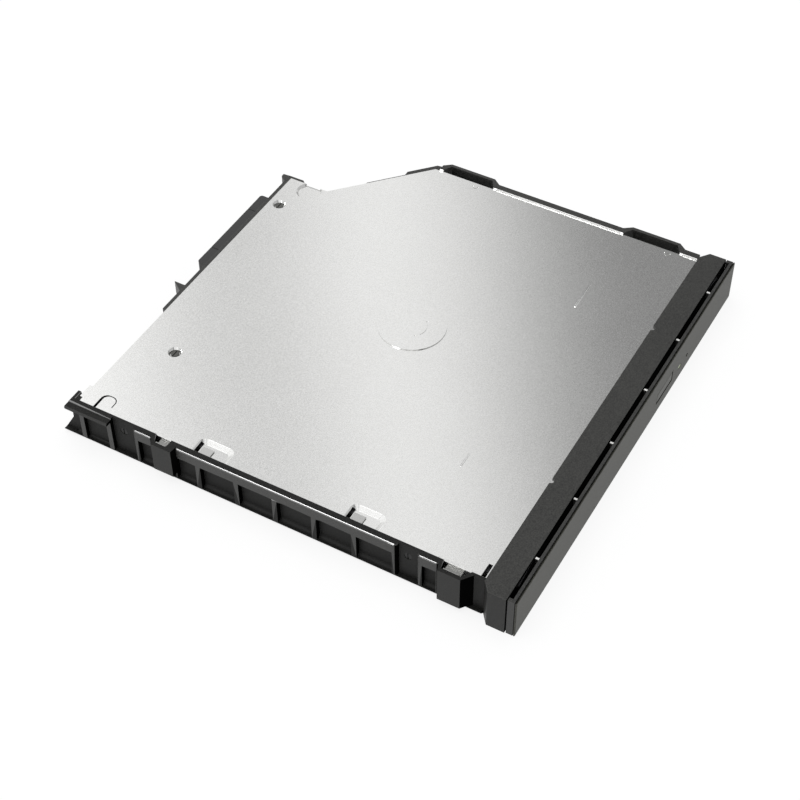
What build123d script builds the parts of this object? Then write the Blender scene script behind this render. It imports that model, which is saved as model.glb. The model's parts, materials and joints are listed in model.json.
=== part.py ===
from build123d import *
import os
from math import sqrt

# A slim tray-loading disc drive for a laptop, carried in a moulded bay carrier.
# X runs across the drive, with +X on the right seen from the bezel.
# The bezel faces -Y, the bay connector faces +Y and the smooth cover faces +Z.
# The origin is under the middle of the whole part, on the surface it lies on.
# All lengths are in millimetres.

# Drive body
drive_width = 128.0
drive_depth = 125.0
drive_height = 9.5
cut_corner_run_x = 24.4
cut_corner_run_y = 22.8
cut_corner_start = 12.4
case_sheet = 0.5
cover_sheet = 0.4

# Bay carrier
bay_height = 12.7
roof_thickness = 0.5
carrier_reach = 3.8
bar_lip = 0.6
bar_overlap = 6.5
bar_chamfer_x = 2.8
bar_chamfer_y = 2.2
rail_clearance = 0.05
rail_wall = 0.85
rail_face = 2.1
jog_wall = 1.0
pocket_wall = 0.55
connector_reach = 5.1

# Bezel
bezel_inset = 0.2
bezel_gap = 0.3
bezel_depth = 2.4
bezel_face_thickness = 0.45
bezel_groove = 0.15
bezel_foot = 0.1
button_x = 20.2
button_width = 10.6
button_height = 3.6
button_z = 5.6
button_gap = 0.15
pin_hole_x = 35.5
pin_hole_z = 4.5
pin_hole_radius = 0.6
light_x = 30.5
light_half_width = 1.0
light_half_height = 0.5

# Tray and its slides
tray_side_gap = 2.7
tray_floor_z = 8.4
tray_floor_thickness = 1.2
tray_rim_z = 10.9
tray_skirt_z = 3.9
tray_wall = 1.2
rear_margin = 2.1
tongue_reach = 1.4
tongue_height = 2.0
slide_gap = 0.25
slide_sheet = 0.4
slide_clearance = 0.2
slide_height = 3.3
slide_rise = 3.65
guide_wall = 1.9

# Disc and spindle
disc_radius = 60.0
disc_margin = 0.6
disc_seat_z = 9.3
hub_x = 2.2
hub_from_rear = 61.7
hub_nose_radius = 7.35
hub_nose_top = 11.1
turntable_radius = 13.0
turntable_thickness = 0.9
rotor_radius = 10.0
rotor_wall = 1.0
rotor_bottom_z = 6.0
shaft_radius = 1.25
bearing_radius = 2.8
running_clearance = 0.04
pole_count = 9
claw_count = 3
claw_travel = 0.5

# Pickup mechanism, set along the line on which the lens travels
sled_angle = 225.0
lens_rest_radius = 23.5
sled_travel = 34.0
sled_behind_lens = 11.0
sled_before_lens = 4.5
end_clearance = 0.8
deck_z = 4.7
deck_sheet = 0.6
rod_low = -16.6
rod_high = 15.2
rod_radius = 0.75
rod_z = 6.8
rod_bush_radius = 1.35
rod_inner = -1.0
rod_to_deck_edge = 2.6
saddle_length = 1.0
deck_edge = 0.5
motor_length = 7.7
motor_outer = -6.8
bracket_thickness = 1.0
bracket_foot = 1.2
sled_bottom_z = 5.6
sled_top_z = 8.0
lens_radius = 1.9
lead_screw_radius = 0.9
lead_screw_y = 11.6
lead_screw_z = 7.1
underside_z = 3.6
underside_sheet = 0.3
window_sheet = 0.2
window_gap = 0.2

# Screws, boards and cable
screw_radius = 0.8
screw_fit = 0.03
screw_head_radius = 1.9
screw_head = 0.35
slot_width = 0.4
board_thickness = 0.6
film_thickness = 0.15
flex_thickness = 0.1

# Heights that follow from the sizes above
drive_base_z = bay_height - roof_thickness - drive_height
drive_top_z = drive_base_z + drive_height
case_floor_z = drive_base_z + case_sheet
cover_under_z = drive_top_z - cover_sheet
tray_under_z = tray_floor_z - tray_floor_thickness
deck_top_z = deck_z + deck_sheet
film_top_z = case_floor_z + film_thickness
board_top_z = film_top_z + board_thickness
slide_mid_z = drive_base_z + slide_rise
slide_low_z = slide_mid_z - slide_height / 2
slide_high_z = slide_mid_z + slide_height / 2
underside_top_z = underside_z + underside_sheet

# Places along the depth, from the connector to the bezel
total_depth = drive_depth + bar_lip + bezel_gap + bezel_depth + connector_reach
rear_y = total_depth / 2 - connector_reach
drive_front_y = rear_y - drive_depth
bar_front_y = drive_front_y - bar_lip
bar_rear_y = drive_front_y + bar_overlap
bezel_rear_y = bar_front_y - bezel_gap
bezel_front_y = bezel_rear_y - bezel_depth
hub_y = rear_y - hub_from_rear
tray_front_y = bezel_rear_y
tray_rear_y = rear_y - rear_margin

# Places across the width
half_width = drive_width / 2
inner_half = half_width - case_sheet
tray_half_width = half_width - tray_side_gap
cut_corner_x = half_width - cut_corner_run_x
rail_in = half_width + rail_clearance
rail_back = rail_in + rail_wall
rail_out = half_width + rail_face
pocket_back = rail_in + pocket_wall
carrier_half = half_width + carrier_reach
bezel_half = carrier_half - bezel_inset
tongue_x = tray_half_width + tongue_reach
slide_web_in = tongue_x + slide_clearance
slide_web_out = slide_web_in + slide_sheet
slide_tip = tray_half_width + slide_gap + slide_clearance
guide_in = inner_half - guide_wall

# Places on the mechanism's own axes, measured from the hub
sled_inner = lens_rest_radius - sled_behind_lens
sled_outer = lens_rest_radius + sled_before_lens
travel_end = sled_outer + sled_travel + end_clearance
motor_inner = motor_outer - motor_length
deck_inner = motor_inner - deck_edge
deck_outer = travel_end + bracket_thickness + bracket_foot + 2 * deck_edge
deck_low_side = rod_low - rod_to_deck_edge
deck_high_side = rod_high + rod_to_deck_edge
rod_outer = travel_end + 2 * saddle_length
window_inner = deck_inner - 4 * deck_edge
window_outer = deck_outer + deck_edge
window_low = deck_low_side - deck_edge
window_high = deck_high_side + deck_edge

deck_place = Pos(hub_x, hub_y, 0) * Rot(0, 0, sled_angle)


# Shared shapes


def block(x0, x1, y0, y1, z0, z1):
    """A cuboid between two opposite corners."""
    size = Box(x1 - x0, y1 - y0, z1 - z0)
    return Pos((x0 + x1) / 2, (y0 + y1) / 2, (z0 + z1) / 2) * size


def post(x, y, z0, z1, radius):
    """An upright cylinder standing from z0 to z1."""
    return Pos(x, y, (z0 + z1) / 2) * Cylinder(radius, z1 - z0)


def lying(x, y0, y1, z, radius):
    """A cylinder that lies along Y."""
    return Pos(x, (y0 + y1) / 2, z) * Rot(90, 0, 0) * Cylinder(radius, y1 - y0)


def bar_along_x(x0, x1, y, z, radius):
    """A cylinder that lies along X."""
    return Pos((x0 + x1) / 2, y, z) * Rot(0, 90, 0) * Cylinder(radius, x1 - x0)


def slab(points, z0, z1):
    """A flat plate with the given plan outline, from z0 to z1."""
    outline = make_face(Polyline(*points, close=True))
    return Pos(0, 0, z0) * extrude(outline, z1 - z0)


def mirrored(shape):
    """The same piece on the other side of the drive."""
    return mirror(shape, Plane.YZ)


def outline_inset(inset, front, rear):
    """Plan outline of the drive with its cut corner, set in by one distance."""
    slope = cut_corner_run_y / cut_corner_run_x
    shift = inset * (sqrt(1 + slope * slope) - slope)
    side = half_width - inset
    top_x = cut_corner_x - inset
    start_y = rear_y - cut_corner_start
    end_y = start_y - cut_corner_run_y
    return [
        (-side, front),
        (side, front),
        (side, end_y - shift),
        (top_x, start_y - shift),
        (top_x, rear),
        (-side, rear),
    ]


def low_screw(x, y, head_z, tip_z):
    """A screw that stands on its head, with a slot in the head's underside."""
    head = post(x, y, head_z, head_z + screw_head, screw_head_radius)
    shank = post(x, y, head_z + screw_head, tip_z, screw_radius)
    slot = Box(1.2 * screw_head_radius, slot_width, screw_head)
    return head + shank - Pos(x, y, head_z) * slot


# Bay carrier

# Each jog is given by where its slope starts, its two corners and its slope's end
left_jogs = (
    tuple(bar_rear_y + reach for reach in (2.8, 5.0, 11.15, 12.1)),
    tuple(rear_y - reach for reach in (31.4, 31.05, 25.15, 23.5)),
)
left_jog_bottoms = (1.65, 3.4)
right_tall_rear_y = rear_y - 36.6
right_jogs = (
    tuple(bar_rear_y + reach for reach in (4.5, 6.7, 21.2, 23.6)),
    tuple(right_tall_rear_y - reach for reach in (18.7, 16.5, 2.2, 0.3)),
)
jog_side = 0.9
rail_rear_y = rear_y + 1.1
rear_wall = 1.05
rear_wall_reach = 2.6
ledge_reach = 2.5
ledge_thickness = 1.0
left_ledges = (
    (bar_rear_y + 12.9, bar_rear_y + 18.9),
    (-3.0, 3.0),
    (rear_y - 9.6, rear_y - 3.6),
)
right_ledges = ((bar_rear_y + 23.9, bar_rear_y + 29.9), (-3.0, 3.0))
rib_pitch = 11.37
rib_thickness = 1.4
rib_count = 6
first_rib_y = rear_y - 37.85
main_rear_y = rear_y - 31.1
short_segments = (
    (bar_rear_y + 11.6, bar_rear_y + 17.6),
    (rear_y - 24.4, rear_y - 18.2),
)
segment_round = 0.8
top_edge = 0.25
top_band = 3.4
bottom_band = 1.3
toe_bevel = 1.0
jog_fill = (rear_y - 30.7, rear_y - 29.0)
pocket_radius = 1.1
rear_segment_y = rear_y - 11.2
rear_rib_y = rear_y - 2.4
rear_strip_reach = 1.7
rear_lip_reach = 3.6
rear_lip_low = 1.2
rear_lip_high = 0.3
rear_foot_reach = 3.9
rear_foot_inner = 2.0
foot_thickness = 1.2
gusset_top_z = 6.0
carrier_hole_ys = (bar_rear_y + 20.6, rear_y - 14.4)
carrier_hole_z = 8.9
carrier_hole_radius = 1.1
carrier_hole_depth = 0.45
carrier_head_radius = 1.05
bar_dimples = (-29.5, 32.4)
dimple_radius = 0.9
bar_pocket_count = 6
bar_pocket_wall = 1.2
bar_pocket_roof = 1.1


def wall_outline(jogs, front, rear, wall_out):
    """Plan outline of a rail wall on the +X side, with its outward jogs."""
    outer = [(wall_out, front)]
    inner = [(rail_in, front)]
    jog_out = carrier_half
    jog_in = carrier_half - jog_wall
    for start, low, high, end in jogs:
        outer.append((wall_out, start))
        outer.append((jog_out, low))
        outer.append((jog_out, high))
        outer.append((wall_out, end))
        inner.append((rail_in, start + jog_side))
        inner.append((jog_in, low + jog_side / 2))
        inner.append((jog_in, high - jog_side / 2))
        inner.append((rail_in, end - jog_side))
    outer.append((wall_out, rear))
    inner.append((rail_in, rear))
    return outer + inner[::-1]


def seat_ledges(places):
    """Short ledges along a +X rail on which the drive body rests."""
    ledges = None
    for low, high in places:
        top = drive_base_z
        ledge = block(
            half_width - ledge_reach, rail_in, low, high, top - ledge_thickness, top
        )
        ledges = ledge if ledges is None else ledges + ledge
    return ledges


def rail_pocket(low, high, top):
    """Cutter for one pocket between two ribs of the left rail."""
    height = top - bottom_band
    depth = rail_out - pocket_back
    profile = RectangleRounded(2 * depth, height, pocket_radius)
    middle_z = bottom_band + height / 2
    plane = Plane((rail_out, high, middle_z), x_dir=(1, 0, 0), z_dir=(0, -1, 0))
    return extrude(plane * profile, high - low)


def rail_segment(low, high):
    """A raised length of the left rail, with soft ends and a chamfered top edge."""
    piece = block(pocket_back, rail_out, low, high, 0, bay_height)
    corners = piece.edges().filter_by(Axis.Z).group_by(Axis.X)[-1]
    piece = fillet(corners, segment_round)
    rim = piece.edges().filter_by(Axis.Y).group_by(Axis.Z)[-1].sort_by(Axis.X)[-1]
    return chamfer(rim, top_edge)


def bottom_flange():
    """Flange along the foot of the left rail."""
    return block(rail_in, rail_out, bar_rear_y, rail_rear_y, 0, bottom_band)


def toe_cutter():
    """Cutter for the sloping lead-in under the foot of the left rail."""
    corner = Polyline(
        (rail_out - toe_bevel, 0),
        (carrier_half, 0),
        (carrier_half, toe_bevel),
        (rail_out, toe_bevel),
        close=True,
    )
    rear = rail_rear_y + rear_foot_reach
    plane = Plane((0, rear, 0), x_dir=(1, 0, 0), z_dir=(0, -1, 0))
    return extrude(plane * make_face(corner), rear - bar_rear_y)


def rear_segment():
    """The rear length of the left rail, with its outward lip, end wall and foot."""
    lip_low = bay_height - rear_lip_low
    lip_high = bay_height - rear_lip_high
    strip_out = half_width + rear_strip_reach
    lip_out = half_width + rear_lip_reach
    wall_end = rail_rear_y + rear_wall
    body = block(pocket_back, rail_out, rear_segment_y, rail_rear_y, 0, lip_low)
    first_rib_end = rear_segment_y + rib_thickness
    rear_rib_end = rear_rib_y + rib_thickness
    body -= rail_pocket(first_rib_end, rear_rib_y, lip_low + pocket_radius)
    body -= rail_pocket(rear_rib_end, wall_end, lip_low + pocket_radius)
    strip = block(
        pocket_back, strip_out, rear_segment_y, wall_end, lip_low, bay_height
    )
    rim = strip.edges().filter_by(Axis.Y).group_by(Axis.Z)[-1].sort_by(Axis.X)[-1]
    body += chamfer(rim, top_edge)
    lip = block(pocket_back, lip_out, rear_segment_y, wall_end, lip_low, lip_high)
    rim = lip.edges().filter_by(Axis.Y).group_by(Axis.Z)[-1].sort_by(Axis.X)[-1]
    body += chamfer(rim, top_edge)
    inner = half_width - rear_wall_reach
    body += block(inner, rail_back, rail_rear_y, wall_end, drive_base_z, bay_height)
    foot_in = half_width - rear_foot_inner
    foot_end = rail_rear_y + rear_foot_reach
    body += block(foot_in, rail_out, rail_rear_y, foot_end, 0, foot_thickness)
    body += block(foot_in, rail_back, rail_rear_y, wall_end, 0, drive_base_z)
    return body + rear_gusset(foot_end, wall_end)


def rear_gusset(foot_end, wall_end):
    """Sloping web between the end of the left rail and its foot."""
    side = Polyline(
        (rail_rear_y, foot_thickness),
        (foot_end, foot_thickness),
        (wall_end, gusset_top_z),
        (rail_rear_y, gusset_top_z),
        close=True,
    )
    web = extrude(Plane.YZ * make_face(side), rail_back - rail_in)
    return Pos(rail_in, 0, 0) * web


def carrier_hole(y):
    """Cutter for one screw hole with a flat seat for the screw's head."""
    hole = bar_along_x(
        rail_in - 1, rail_out, y, carrier_hole_z, screw_radius + screw_fit
    )
    seat_x = rail_back - carrier_hole_depth
    return hole + bar_along_x(seat_x, rail_out, y, carrier_hole_z, carrier_hole_radius)


def carrier_left_rail():
    """Ribbed rail, drawn on the +X side and mirrored at the end."""
    wall = slab(
        wall_outline(left_jogs, bar_rear_y, rail_rear_y, rail_back), 0, bay_height
    )
    half_rib = rib_thickness / 2
    main_front_y = first_rib_y - (rib_count - 1) * rib_pitch - half_rib
    pocket_top = bay_height - top_band
    wall += rail_segment(main_front_y, main_rear_y)
    ribs = [first_rib_y - i * rib_pitch for i in range(rib_count)]
    edges = [main_rear_y + half_rib] + ribs
    for rear_edge, front_edge in zip(edges, edges[1:]):
        wall -= rail_pocket(front_edge + half_rib, rear_edge - half_rib, pocket_top)
    for low, high in short_segments:
        wall += rail_segment(low, high)
        wall -= rail_pocket(low + segment_round, high - rib_thickness, pocket_top)
    wall += rear_segment()
    wall += bottom_flange()
    wall -= toe_cutter()
    low, high = jog_fill
    jog_in = carrier_half - jog_wall
    wall += block(rail_in, jog_in, low, high, left_jog_bottoms[1], bay_height)
    for (start, low, high, end), bottom in zip(left_jogs, left_jog_bottoms):
        wall -= block(rail_out, carrier_half, start, end, 0, bottom)
    for hole_y in carrier_hole_ys:
        wall -= carrier_hole(hole_y)
    return mirrored(wall + seat_ledges(left_ledges))


arm_drop = 0.3
arm_thick = 2.4
arm_thin = 0.85
arm_step_x = half_width - 4.8
arm_step_run = 1.6
arm_end_x = half_width - 15.0
arm_end_run = 0.6


def carrier_right_rail():
    """Plain rail with two jogs and the arm along the cut corner."""
    corner_y = rear_y - cut_corner_start - cut_corner_run_y
    slope = cut_corner_run_y / cut_corner_run_x
    tall_end = right_tall_rear_y
    wall = slab(
        wall_outline(right_jogs, bar_rear_y, tall_end, rail_out), 0, bay_height
    )

    def on_cut(x, lift):
        return (x, corner_y + (half_width - x) * slope + lift)

    gap = rail_clearance * 1.5
    arm = slab(
        [
            (rail_in, tall_end),
            (rail_out, tall_end),
            on_cut(rail_out, arm_thick),
            on_cut(arm_step_x, arm_thick),
            on_cut(arm_step_x - arm_step_run, arm_thin),
            on_cut(arm_end_x, arm_thin),
            on_cut(arm_end_x - arm_end_run, gap),
            on_cut(rail_in, gap),
        ],
        0,
        drive_top_z - arm_drop,
    )
    return wall + arm + seat_ledges(right_ledges)


def carrier_front_bar():
    """Frame that wraps the drive's front, open where the tray comes out."""
    plan = [
        (-carrier_half, bar_front_y),
        (carrier_half, bar_front_y),
        (carrier_half, bar_rear_y - bar_chamfer_y),
        (carrier_half - bar_chamfer_x, bar_rear_y),
        (-carrier_half + bar_chamfer_x, bar_rear_y),
        (-carrier_half, bar_rear_y - bar_chamfer_y),
    ]
    bar = slab(plan, 0, bay_height)
    bar -= block(
        -half_width, half_width, drive_front_y, bar_rear_y, drive_base_z, drive_top_z
    )
    bar -= block(
        -inner_half,
        inner_half,
        bar_front_y,
        drive_front_y,
        case_floor_z,
        cover_under_z,
    )
    for x in bar_dimples:
        bar -= post(x, bar_rear_y, drive_top_z, bay_height, dimple_radius)
    pitch = drive_width / bar_pocket_count
    pocket_half = pitch / 2 - bar_pocket_wall
    for i in range(bar_pocket_count):
        middle = -half_width + (i + 0.5) * pitch
        bar -= block(
            middle - pocket_half,
            middle + pocket_half,
            bar_front_y + bar_pocket_wall,
            bar_rear_y - bar_pocket_wall,
            0,
            drive_base_z - bar_pocket_roof,
        )
    return bar


# Rear bracket and bay connector

bracket_left_x = -24.5
bracket_wall = 1.45
bracket_top_z = drive_top_z - 0.5
bracket_wrap = 1.3
bracket_wrap_end = 4.8
bay_connector_x = 14.2
bay_connector_width = 33.4
bay_connector_low_z = 4.4
bay_connector_high_z = 10.0
bay_connector_wall = 1.0
bay_connector_round = 0.9
bay_cavity_depth = 3.2
bay_tongue_low_z = 6.6
bay_tongue_high_z = 7.8
bay_tongue_reach = 2.6
connector_key_x = 9.6
key_width = 0.3
key_depth = 0.2
hook_left = -16.3
hook_right = -13.7
hook_low_z = 7.0
ear_end = 3.3
ear_width = 1.2
ear_inset = 0.2
adapter_low_z = 1.0
adapter_depth = 9.0
adapter_inset = 0.3
contact_pitch = 1.27
contact_count = 22
contact_width = 0.5
contact_thickness = 0.15
contact_margin = 0.3


def rear_bracket():
    """Moulded strip across the rear, with a hook, an ear and a corner wrap."""
    rear = rear_y
    wrap_x = cut_corner_x + rail_clearance
    wrap_out = wrap_x + bracket_wrap
    ear_right = wrap_out - ear_inset
    ear_left = ear_right - ear_width
    outline = [
        (bracket_left_x, rear),
        (wrap_x, rear),
        (wrap_x, rear - bracket_wrap_end),
        (wrap_out, rear - bracket_wrap_end + bracket_wrap),
        (wrap_out, rear + bracket_wall / 2),
        (ear_right, rear + ear_end),
        (ear_left, rear + ear_end),
        (ear_left - bracket_wall, rear + bracket_wall),
        (bracket_left_x, rear + bracket_wall),
    ]
    strip = slab(outline, 0, bracket_top_z)
    hook = slab(
        [
            (hook_left, rear + bracket_wall),
            (hook_right, rear + bracket_wall),
            (hook_right, rear + connector_reach - ear_inset),
        ],
        hook_low_z,
        bracket_top_z,
    )
    strip += hook
    half = bay_connector_width / 2
    strip += block(
        bay_connector_x - half,
        bay_connector_x + half,
        rear - adapter_depth,
        rear,
        0,
        adapter_low_z,
    )
    mouth = block(
        bay_connector_x - half,
        bay_connector_x + half,
        rear,
        rear + bracket_wall,
        adapter_low_z,
        bay_connector_high_z,
    )
    return strip - mouth


def bay_connector():
    """Connector housing that mates with the bay, with its long slot."""
    half = bay_connector_width / 2
    tip = rear_y + connector_reach
    body = block(
        bay_connector_x - half,
        bay_connector_x + half,
        rear_y + rail_clearance,
        tip,
        bay_connector_low_z,
        bay_connector_high_z,
    )
    corners = body.edges().filter_by(Axis.Z).group_by(Axis.Y)[-1]
    body = fillet(corners, bay_connector_round)
    wall = bay_connector_wall
    body -= block(
        bay_connector_x - half + wall,
        bay_connector_x + half - wall,
        tip - bay_cavity_depth,
        tip,
        bay_connector_low_z + wall,
        bay_connector_high_z - wall,
    )
    tongue_half = contact_pitch * (contact_count + 1) / 2
    body += block(
        bay_connector_x - tongue_half,
        bay_connector_x + tongue_half,
        tip - bay_cavity_depth,
        tip - bay_cavity_depth + bay_tongue_reach,
        bay_tongue_low_z,
        bay_tongue_high_z,
    )
    foot = block(
        bay_connector_x - half,
        bay_connector_x + half,
        rear_y + rail_clearance,
        rear_y + bracket_wall,
        adapter_low_z + board_thickness + key_width,
        bay_connector_low_z,
    )
    body += foot
    for x in (bay_connector_x - connector_key_x, bay_connector_x + connector_key_x):
        body -= block(
            x - key_width / 2,
            x + key_width / 2,
            rear_y + rail_clearance,
            tip,
            bay_connector_high_z - key_depth,
            bay_connector_high_z,
        )
    return body


def bay_contacts():
    """Row of spring contacts on the tongue of the bay connector."""
    back = rear_y + connector_reach - bay_cavity_depth
    low = back + contact_margin / 2
    high = back + bay_tongue_reach - contact_margin
    start = bay_connector_x - contact_pitch * (contact_count - 1) / 2
    half = contact_width / 2
    bottom = bay_tongue_high_z
    top = bottom + contact_thickness
    contacts = []
    for i in range(contact_count):
        x = start + i * contact_pitch
        contacts.append(block(x - half, x + half, low, high, bottom, top))
    return Compound(children=contacts)


def adapter_board():
    """Small circuit board that joins the drive's connector to the bay's."""
    half = bay_connector_width / 2
    return block(
        bay_connector_x - half + adapter_inset,
        bay_connector_x + half - adapter_inset,
        rear_y - adapter_depth + adapter_inset,
        rear_y + bracket_wall,
        adapter_low_z,
        adapter_low_z + board_thickness,
    )


def carrier_screws():
    """Two screws through the ribbed rail into the side of the drive."""
    screws = []
    seat = -rail_back + carrier_hole_depth
    head_out = seat - screw_head
    for y in carrier_hole_ys:
        screw = bar_along_x(seat, -inner_half, y, carrier_hole_z, screw_radius)
        screw += bar_along_x(head_out, seat, y, carrier_hole_z, carrier_head_radius)
        slot = Box(screw_head, slot_width, 2 * carrier_head_radius)
        screws.append(screw - Pos(head_out, y, carrier_hole_z) * slot)
    return Compound(children=screws)


# Drive case

notch_x = cut_corner_x - 2.6
notch_from_rear = 7.8
notch_radius = 3.7
notch_floor_radius = 3.2
notch_step = 0.7
lug_left = 1.5 - half_width
lug_right = 5.9 - half_width
lug_reach = 1.0
window_depth = 5.1
window_slope = 1.3
window_drop = 0.8
window_sheet_left = 0.3
window_ys = ((16.4, 26.6), (-27.6, -17.8))
window_radius = 1.8
slot_behind_window = 0.9
leaf_right = 2.7 - half_width
leaf_length = 3.3
leaf_thickness = 0.3
bump_radius = 9.4
bump_height = 0.25
arc_radius = 4.2
arc_width = 0.25
arc_depth = 0.1
arc_half_angle = 30.0
arc_middle = -92.0
arc_dot_angle = 48.0
arc_dot_radius = 0.3
emboss_height = 0.12
emboss_width = 0.4
emboss_from_rear = 96.9
emboss_lines = ((-35.9, -31.0), (30.2, 40.1))
skirt_ranges = ((-40.0, -30.0), (30.0, 44.0))
skirt_thickness = 0.3
fold_run = 0.6
fold_drop = 0.2
right_folds = (
    (bar_rear_y, right_jogs[0][0]),
    (right_jogs[0][3], right_jogs[1][0]),
)
left_folds = (
    (bar_rear_y + 3.9, bar_rear_y + 12.9),
    (rear_y - 32.1, rear_y - 23.6),
)
lance_places = ((half_width - 1.6, 12.3), (half_width - 1.4, -48.3))
lance_radius = 0.95
lance_width = 0.25
tongue_left_root = 2.0 - half_width
tongue_right = 5.1 - half_width
tongue_front = rear_y - 8.7
tongue_rear = rear_y - 5.0
tongue_rear_gap = 0.7
tongue_gap = 0.28
tongue_round = 1.6
bar_slot_right = 4.3 - half_width
bar_slot_front = bar_rear_y + 0.4
bar_slot_rear = bar_rear_y + 1.5
cover_screw_places = ((-37.2, 11.5), (27.8, 3.3))
post_radius = 2.2
dimple_depth = 0.9
dimple_top_radius = 1.9
dimple_floor_radius = 1.3
dimple_wall = 0.3
cover_head_radius = 1.15
cover_head_height = 0.4
cover_shank = 3.0
cover_skirt = 1.4
connector_slot_left = -4.0
connector_slot_right = 24.0
connector_slot_top = 7.0
ear_ranges = ((bar_rear_y + 5.9, bar_rear_y + 10.3), (rear_y - 28.7, rear_y - 25.7))
side_ear_reach = 2.5
side_ear_z = 10.9
side_ear_sheet = 0.35
side_ear_lip_top = 12.4
panel_depth = 0.2
floor_panels = (
    (-40.0, 40.0, -50.0, -44.0),
    (-52.0, -20.0, 20.0, 52.0),
    (30.0, 54.0, -30.0, 8.0),
)


def case_outline(inset):
    return outline_inset(inset, drive_front_y, rear_y - inset)


def side_ears():
    """Small bent ears on the left wall that locate the case in the rail's jogs."""
    ears = None
    out = -half_width - side_ear_reach
    floor_top = side_ear_z + side_ear_sheet
    for low, high in ear_ranges:
        ear = block(out, -half_width, low, high, side_ear_z, floor_top)
        ear += block(
            out, out + side_ear_sheet, low, high, side_ear_z, side_ear_lip_top
        )
        ears = ear if ears is None else ears + ear
    return ears


def window_leaf(low, high):
    """Leaf of the case wall that reaches into one clip window of the cover."""
    start = (low + high) / 2
    return block(
        -inner_half,
        leaf_right,
        start,
        start + leaf_length,
        cover_under_z - leaf_thickness,
        cover_under_z,
    )


def bottom_case():
    """Sheet-metal tub: floor, side walls, rear wall and screw posts."""
    cavity = outline_inset(case_sheet, drive_front_y - 1, rear_y - case_sheet)
    tub = slab(case_outline(0), drive_base_z, cover_under_z)
    tub -= slab(cavity, case_floor_z, cover_under_z)
    tub -= block(
        connector_slot_left,
        connector_slot_right,
        rear_y - case_sheet,
        rear_y,
        case_floor_z,
        connector_slot_top,
    )
    post_top = drive_top_z - dimple_depth - dimple_wall
    for x, from_rear in cover_screw_places:
        y = rear_y - from_rear
        tub += post(x, y, case_floor_z, post_top, post_radius)
        tub -= post(x, y, case_floor_z + 1, post_top, screw_radius + screw_fit)
        reach = dimple_top_radius + dimple_wall
        tub -= post(x, y, post_top, cover_under_z, reach)
    notch_y = rear_y - notch_from_rear
    notch_low = drive_top_z - notch_step
    tub -= post(notch_x, notch_y, notch_low, cover_under_z, notch_radius)
    for low, high in window_ys:
        tub += window_leaf(low, high)
    for y in carrier_hole_ys:
        tub -= bar_along_x(
            -half_width, -inner_half, y, carrier_hole_z, screw_radius + screw_fit
        )
    for x0, x1, y0, y1 in floor_panels:
        tub -= block(x0, x1, y0, y1, drive_base_z, drive_base_z + panel_depth)
    return tub + side_ears()


def window_bowl(low, high, grow):
    """Sloping bowl of one clip window, open at the cover's left edge."""
    middle = (low + high) / 2
    length = high - low
    top_z = drive_top_z
    drop = window_drop + grow
    wide = RectangleRounded(2 * (window_depth + grow), length + 2 * grow, window_radius)
    narrow = RectangleRounded(
        2 * (window_depth + grow - window_slope),
        length + 2 * (grow - window_slope),
        window_radius / 2,
    )
    above = Pos(-half_width, middle, top_z) * wide
    below = Pos(-half_width, middle, top_z - drop) * narrow
    return loft([below.face(), above.face()])


def add_window(sheet, low, high):
    """Presses one clip window into the cover."""
    lowest = drive_top_z - window_drop - window_sheet_left
    inside = block(
        -inner_half + rail_clearance,
        -half_width + 2 * window_depth,
        low - 1,
        high + 1,
        lowest,
        cover_under_z,
    )
    sheet += window_bowl(low, high, window_sheet_left) & inside
    sheet -= window_bowl(low, high, 0)
    return sheet - block(
        -half_width,
        -half_width + window_depth - window_slope,
        high - window_slope,
        high - window_slope + slot_behind_window,
        lowest,
        drive_top_z,
    )


def add_screw_dimple(sheet, x, y):
    """Presses one conical dimple for a cover screw."""
    height = dimple_depth
    outer = Cone(dimple_floor_radius + dimple_wall, dimple_top_radius + dimple_wall, height)
    inner = Cone(dimple_floor_radius, dimple_top_radius, height)
    low = drive_top_z - height - dimple_wall
    bowl = Pos(x, y, low + height / 2) * outer
    reach = 2 * dimple_top_radius
    around = block(x - reach, x + reach, y - reach, y + reach, low, cover_under_z)
    sheet += bowl & around
    sheet -= Pos(x, y, drive_top_z - height / 2) * inner
    return sheet - post(x, y, low, drive_top_z, screw_radius + screw_fit)


def add_notch(sheet):
    """Presses the round step beside the cut corner."""
    y = rear_y - notch_from_rear
    low = drive_top_z - notch_step - cover_sheet
    pan = slab(case_outline(case_sheet), low, cover_under_z)
    sheet += pan & post(notch_x, y, low, cover_under_z, notch_radius + cover_sheet)
    bowl = Cone(notch_floor_radius, notch_radius, notch_step)
    return sheet - Pos(notch_x, y, drive_top_z - notch_step / 2) * bowl


def hub_marks():
    """Cutter for the arc and two dots pressed into the bump over the hub."""
    top = drive_top_z + bump_height
    low = top - arc_depth
    arc = post(0, 0, low, top, arc_radius + arc_width / 2)
    arc -= post(0, 0, low, top, arc_radius - arc_width / 2)
    half = arc_half_angle
    reach = 2 * arc_radius
    left = Rot(0, 0, half) * block(0, reach, -reach, 0, low, top)
    right = Rot(0, 0, -half) * block(0, reach, 0, reach, low, top)
    marks = arc & left & right
    for angle in (-arc_dot_angle, arc_dot_angle):
        dot = post(arc_radius, 0, low, top, arc_dot_radius)
        marks += Rot(0, 0, angle) * dot
    return Pos(hub_x, hub_y, 0) * Rot(0, 0, arc_middle) * marks


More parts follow.
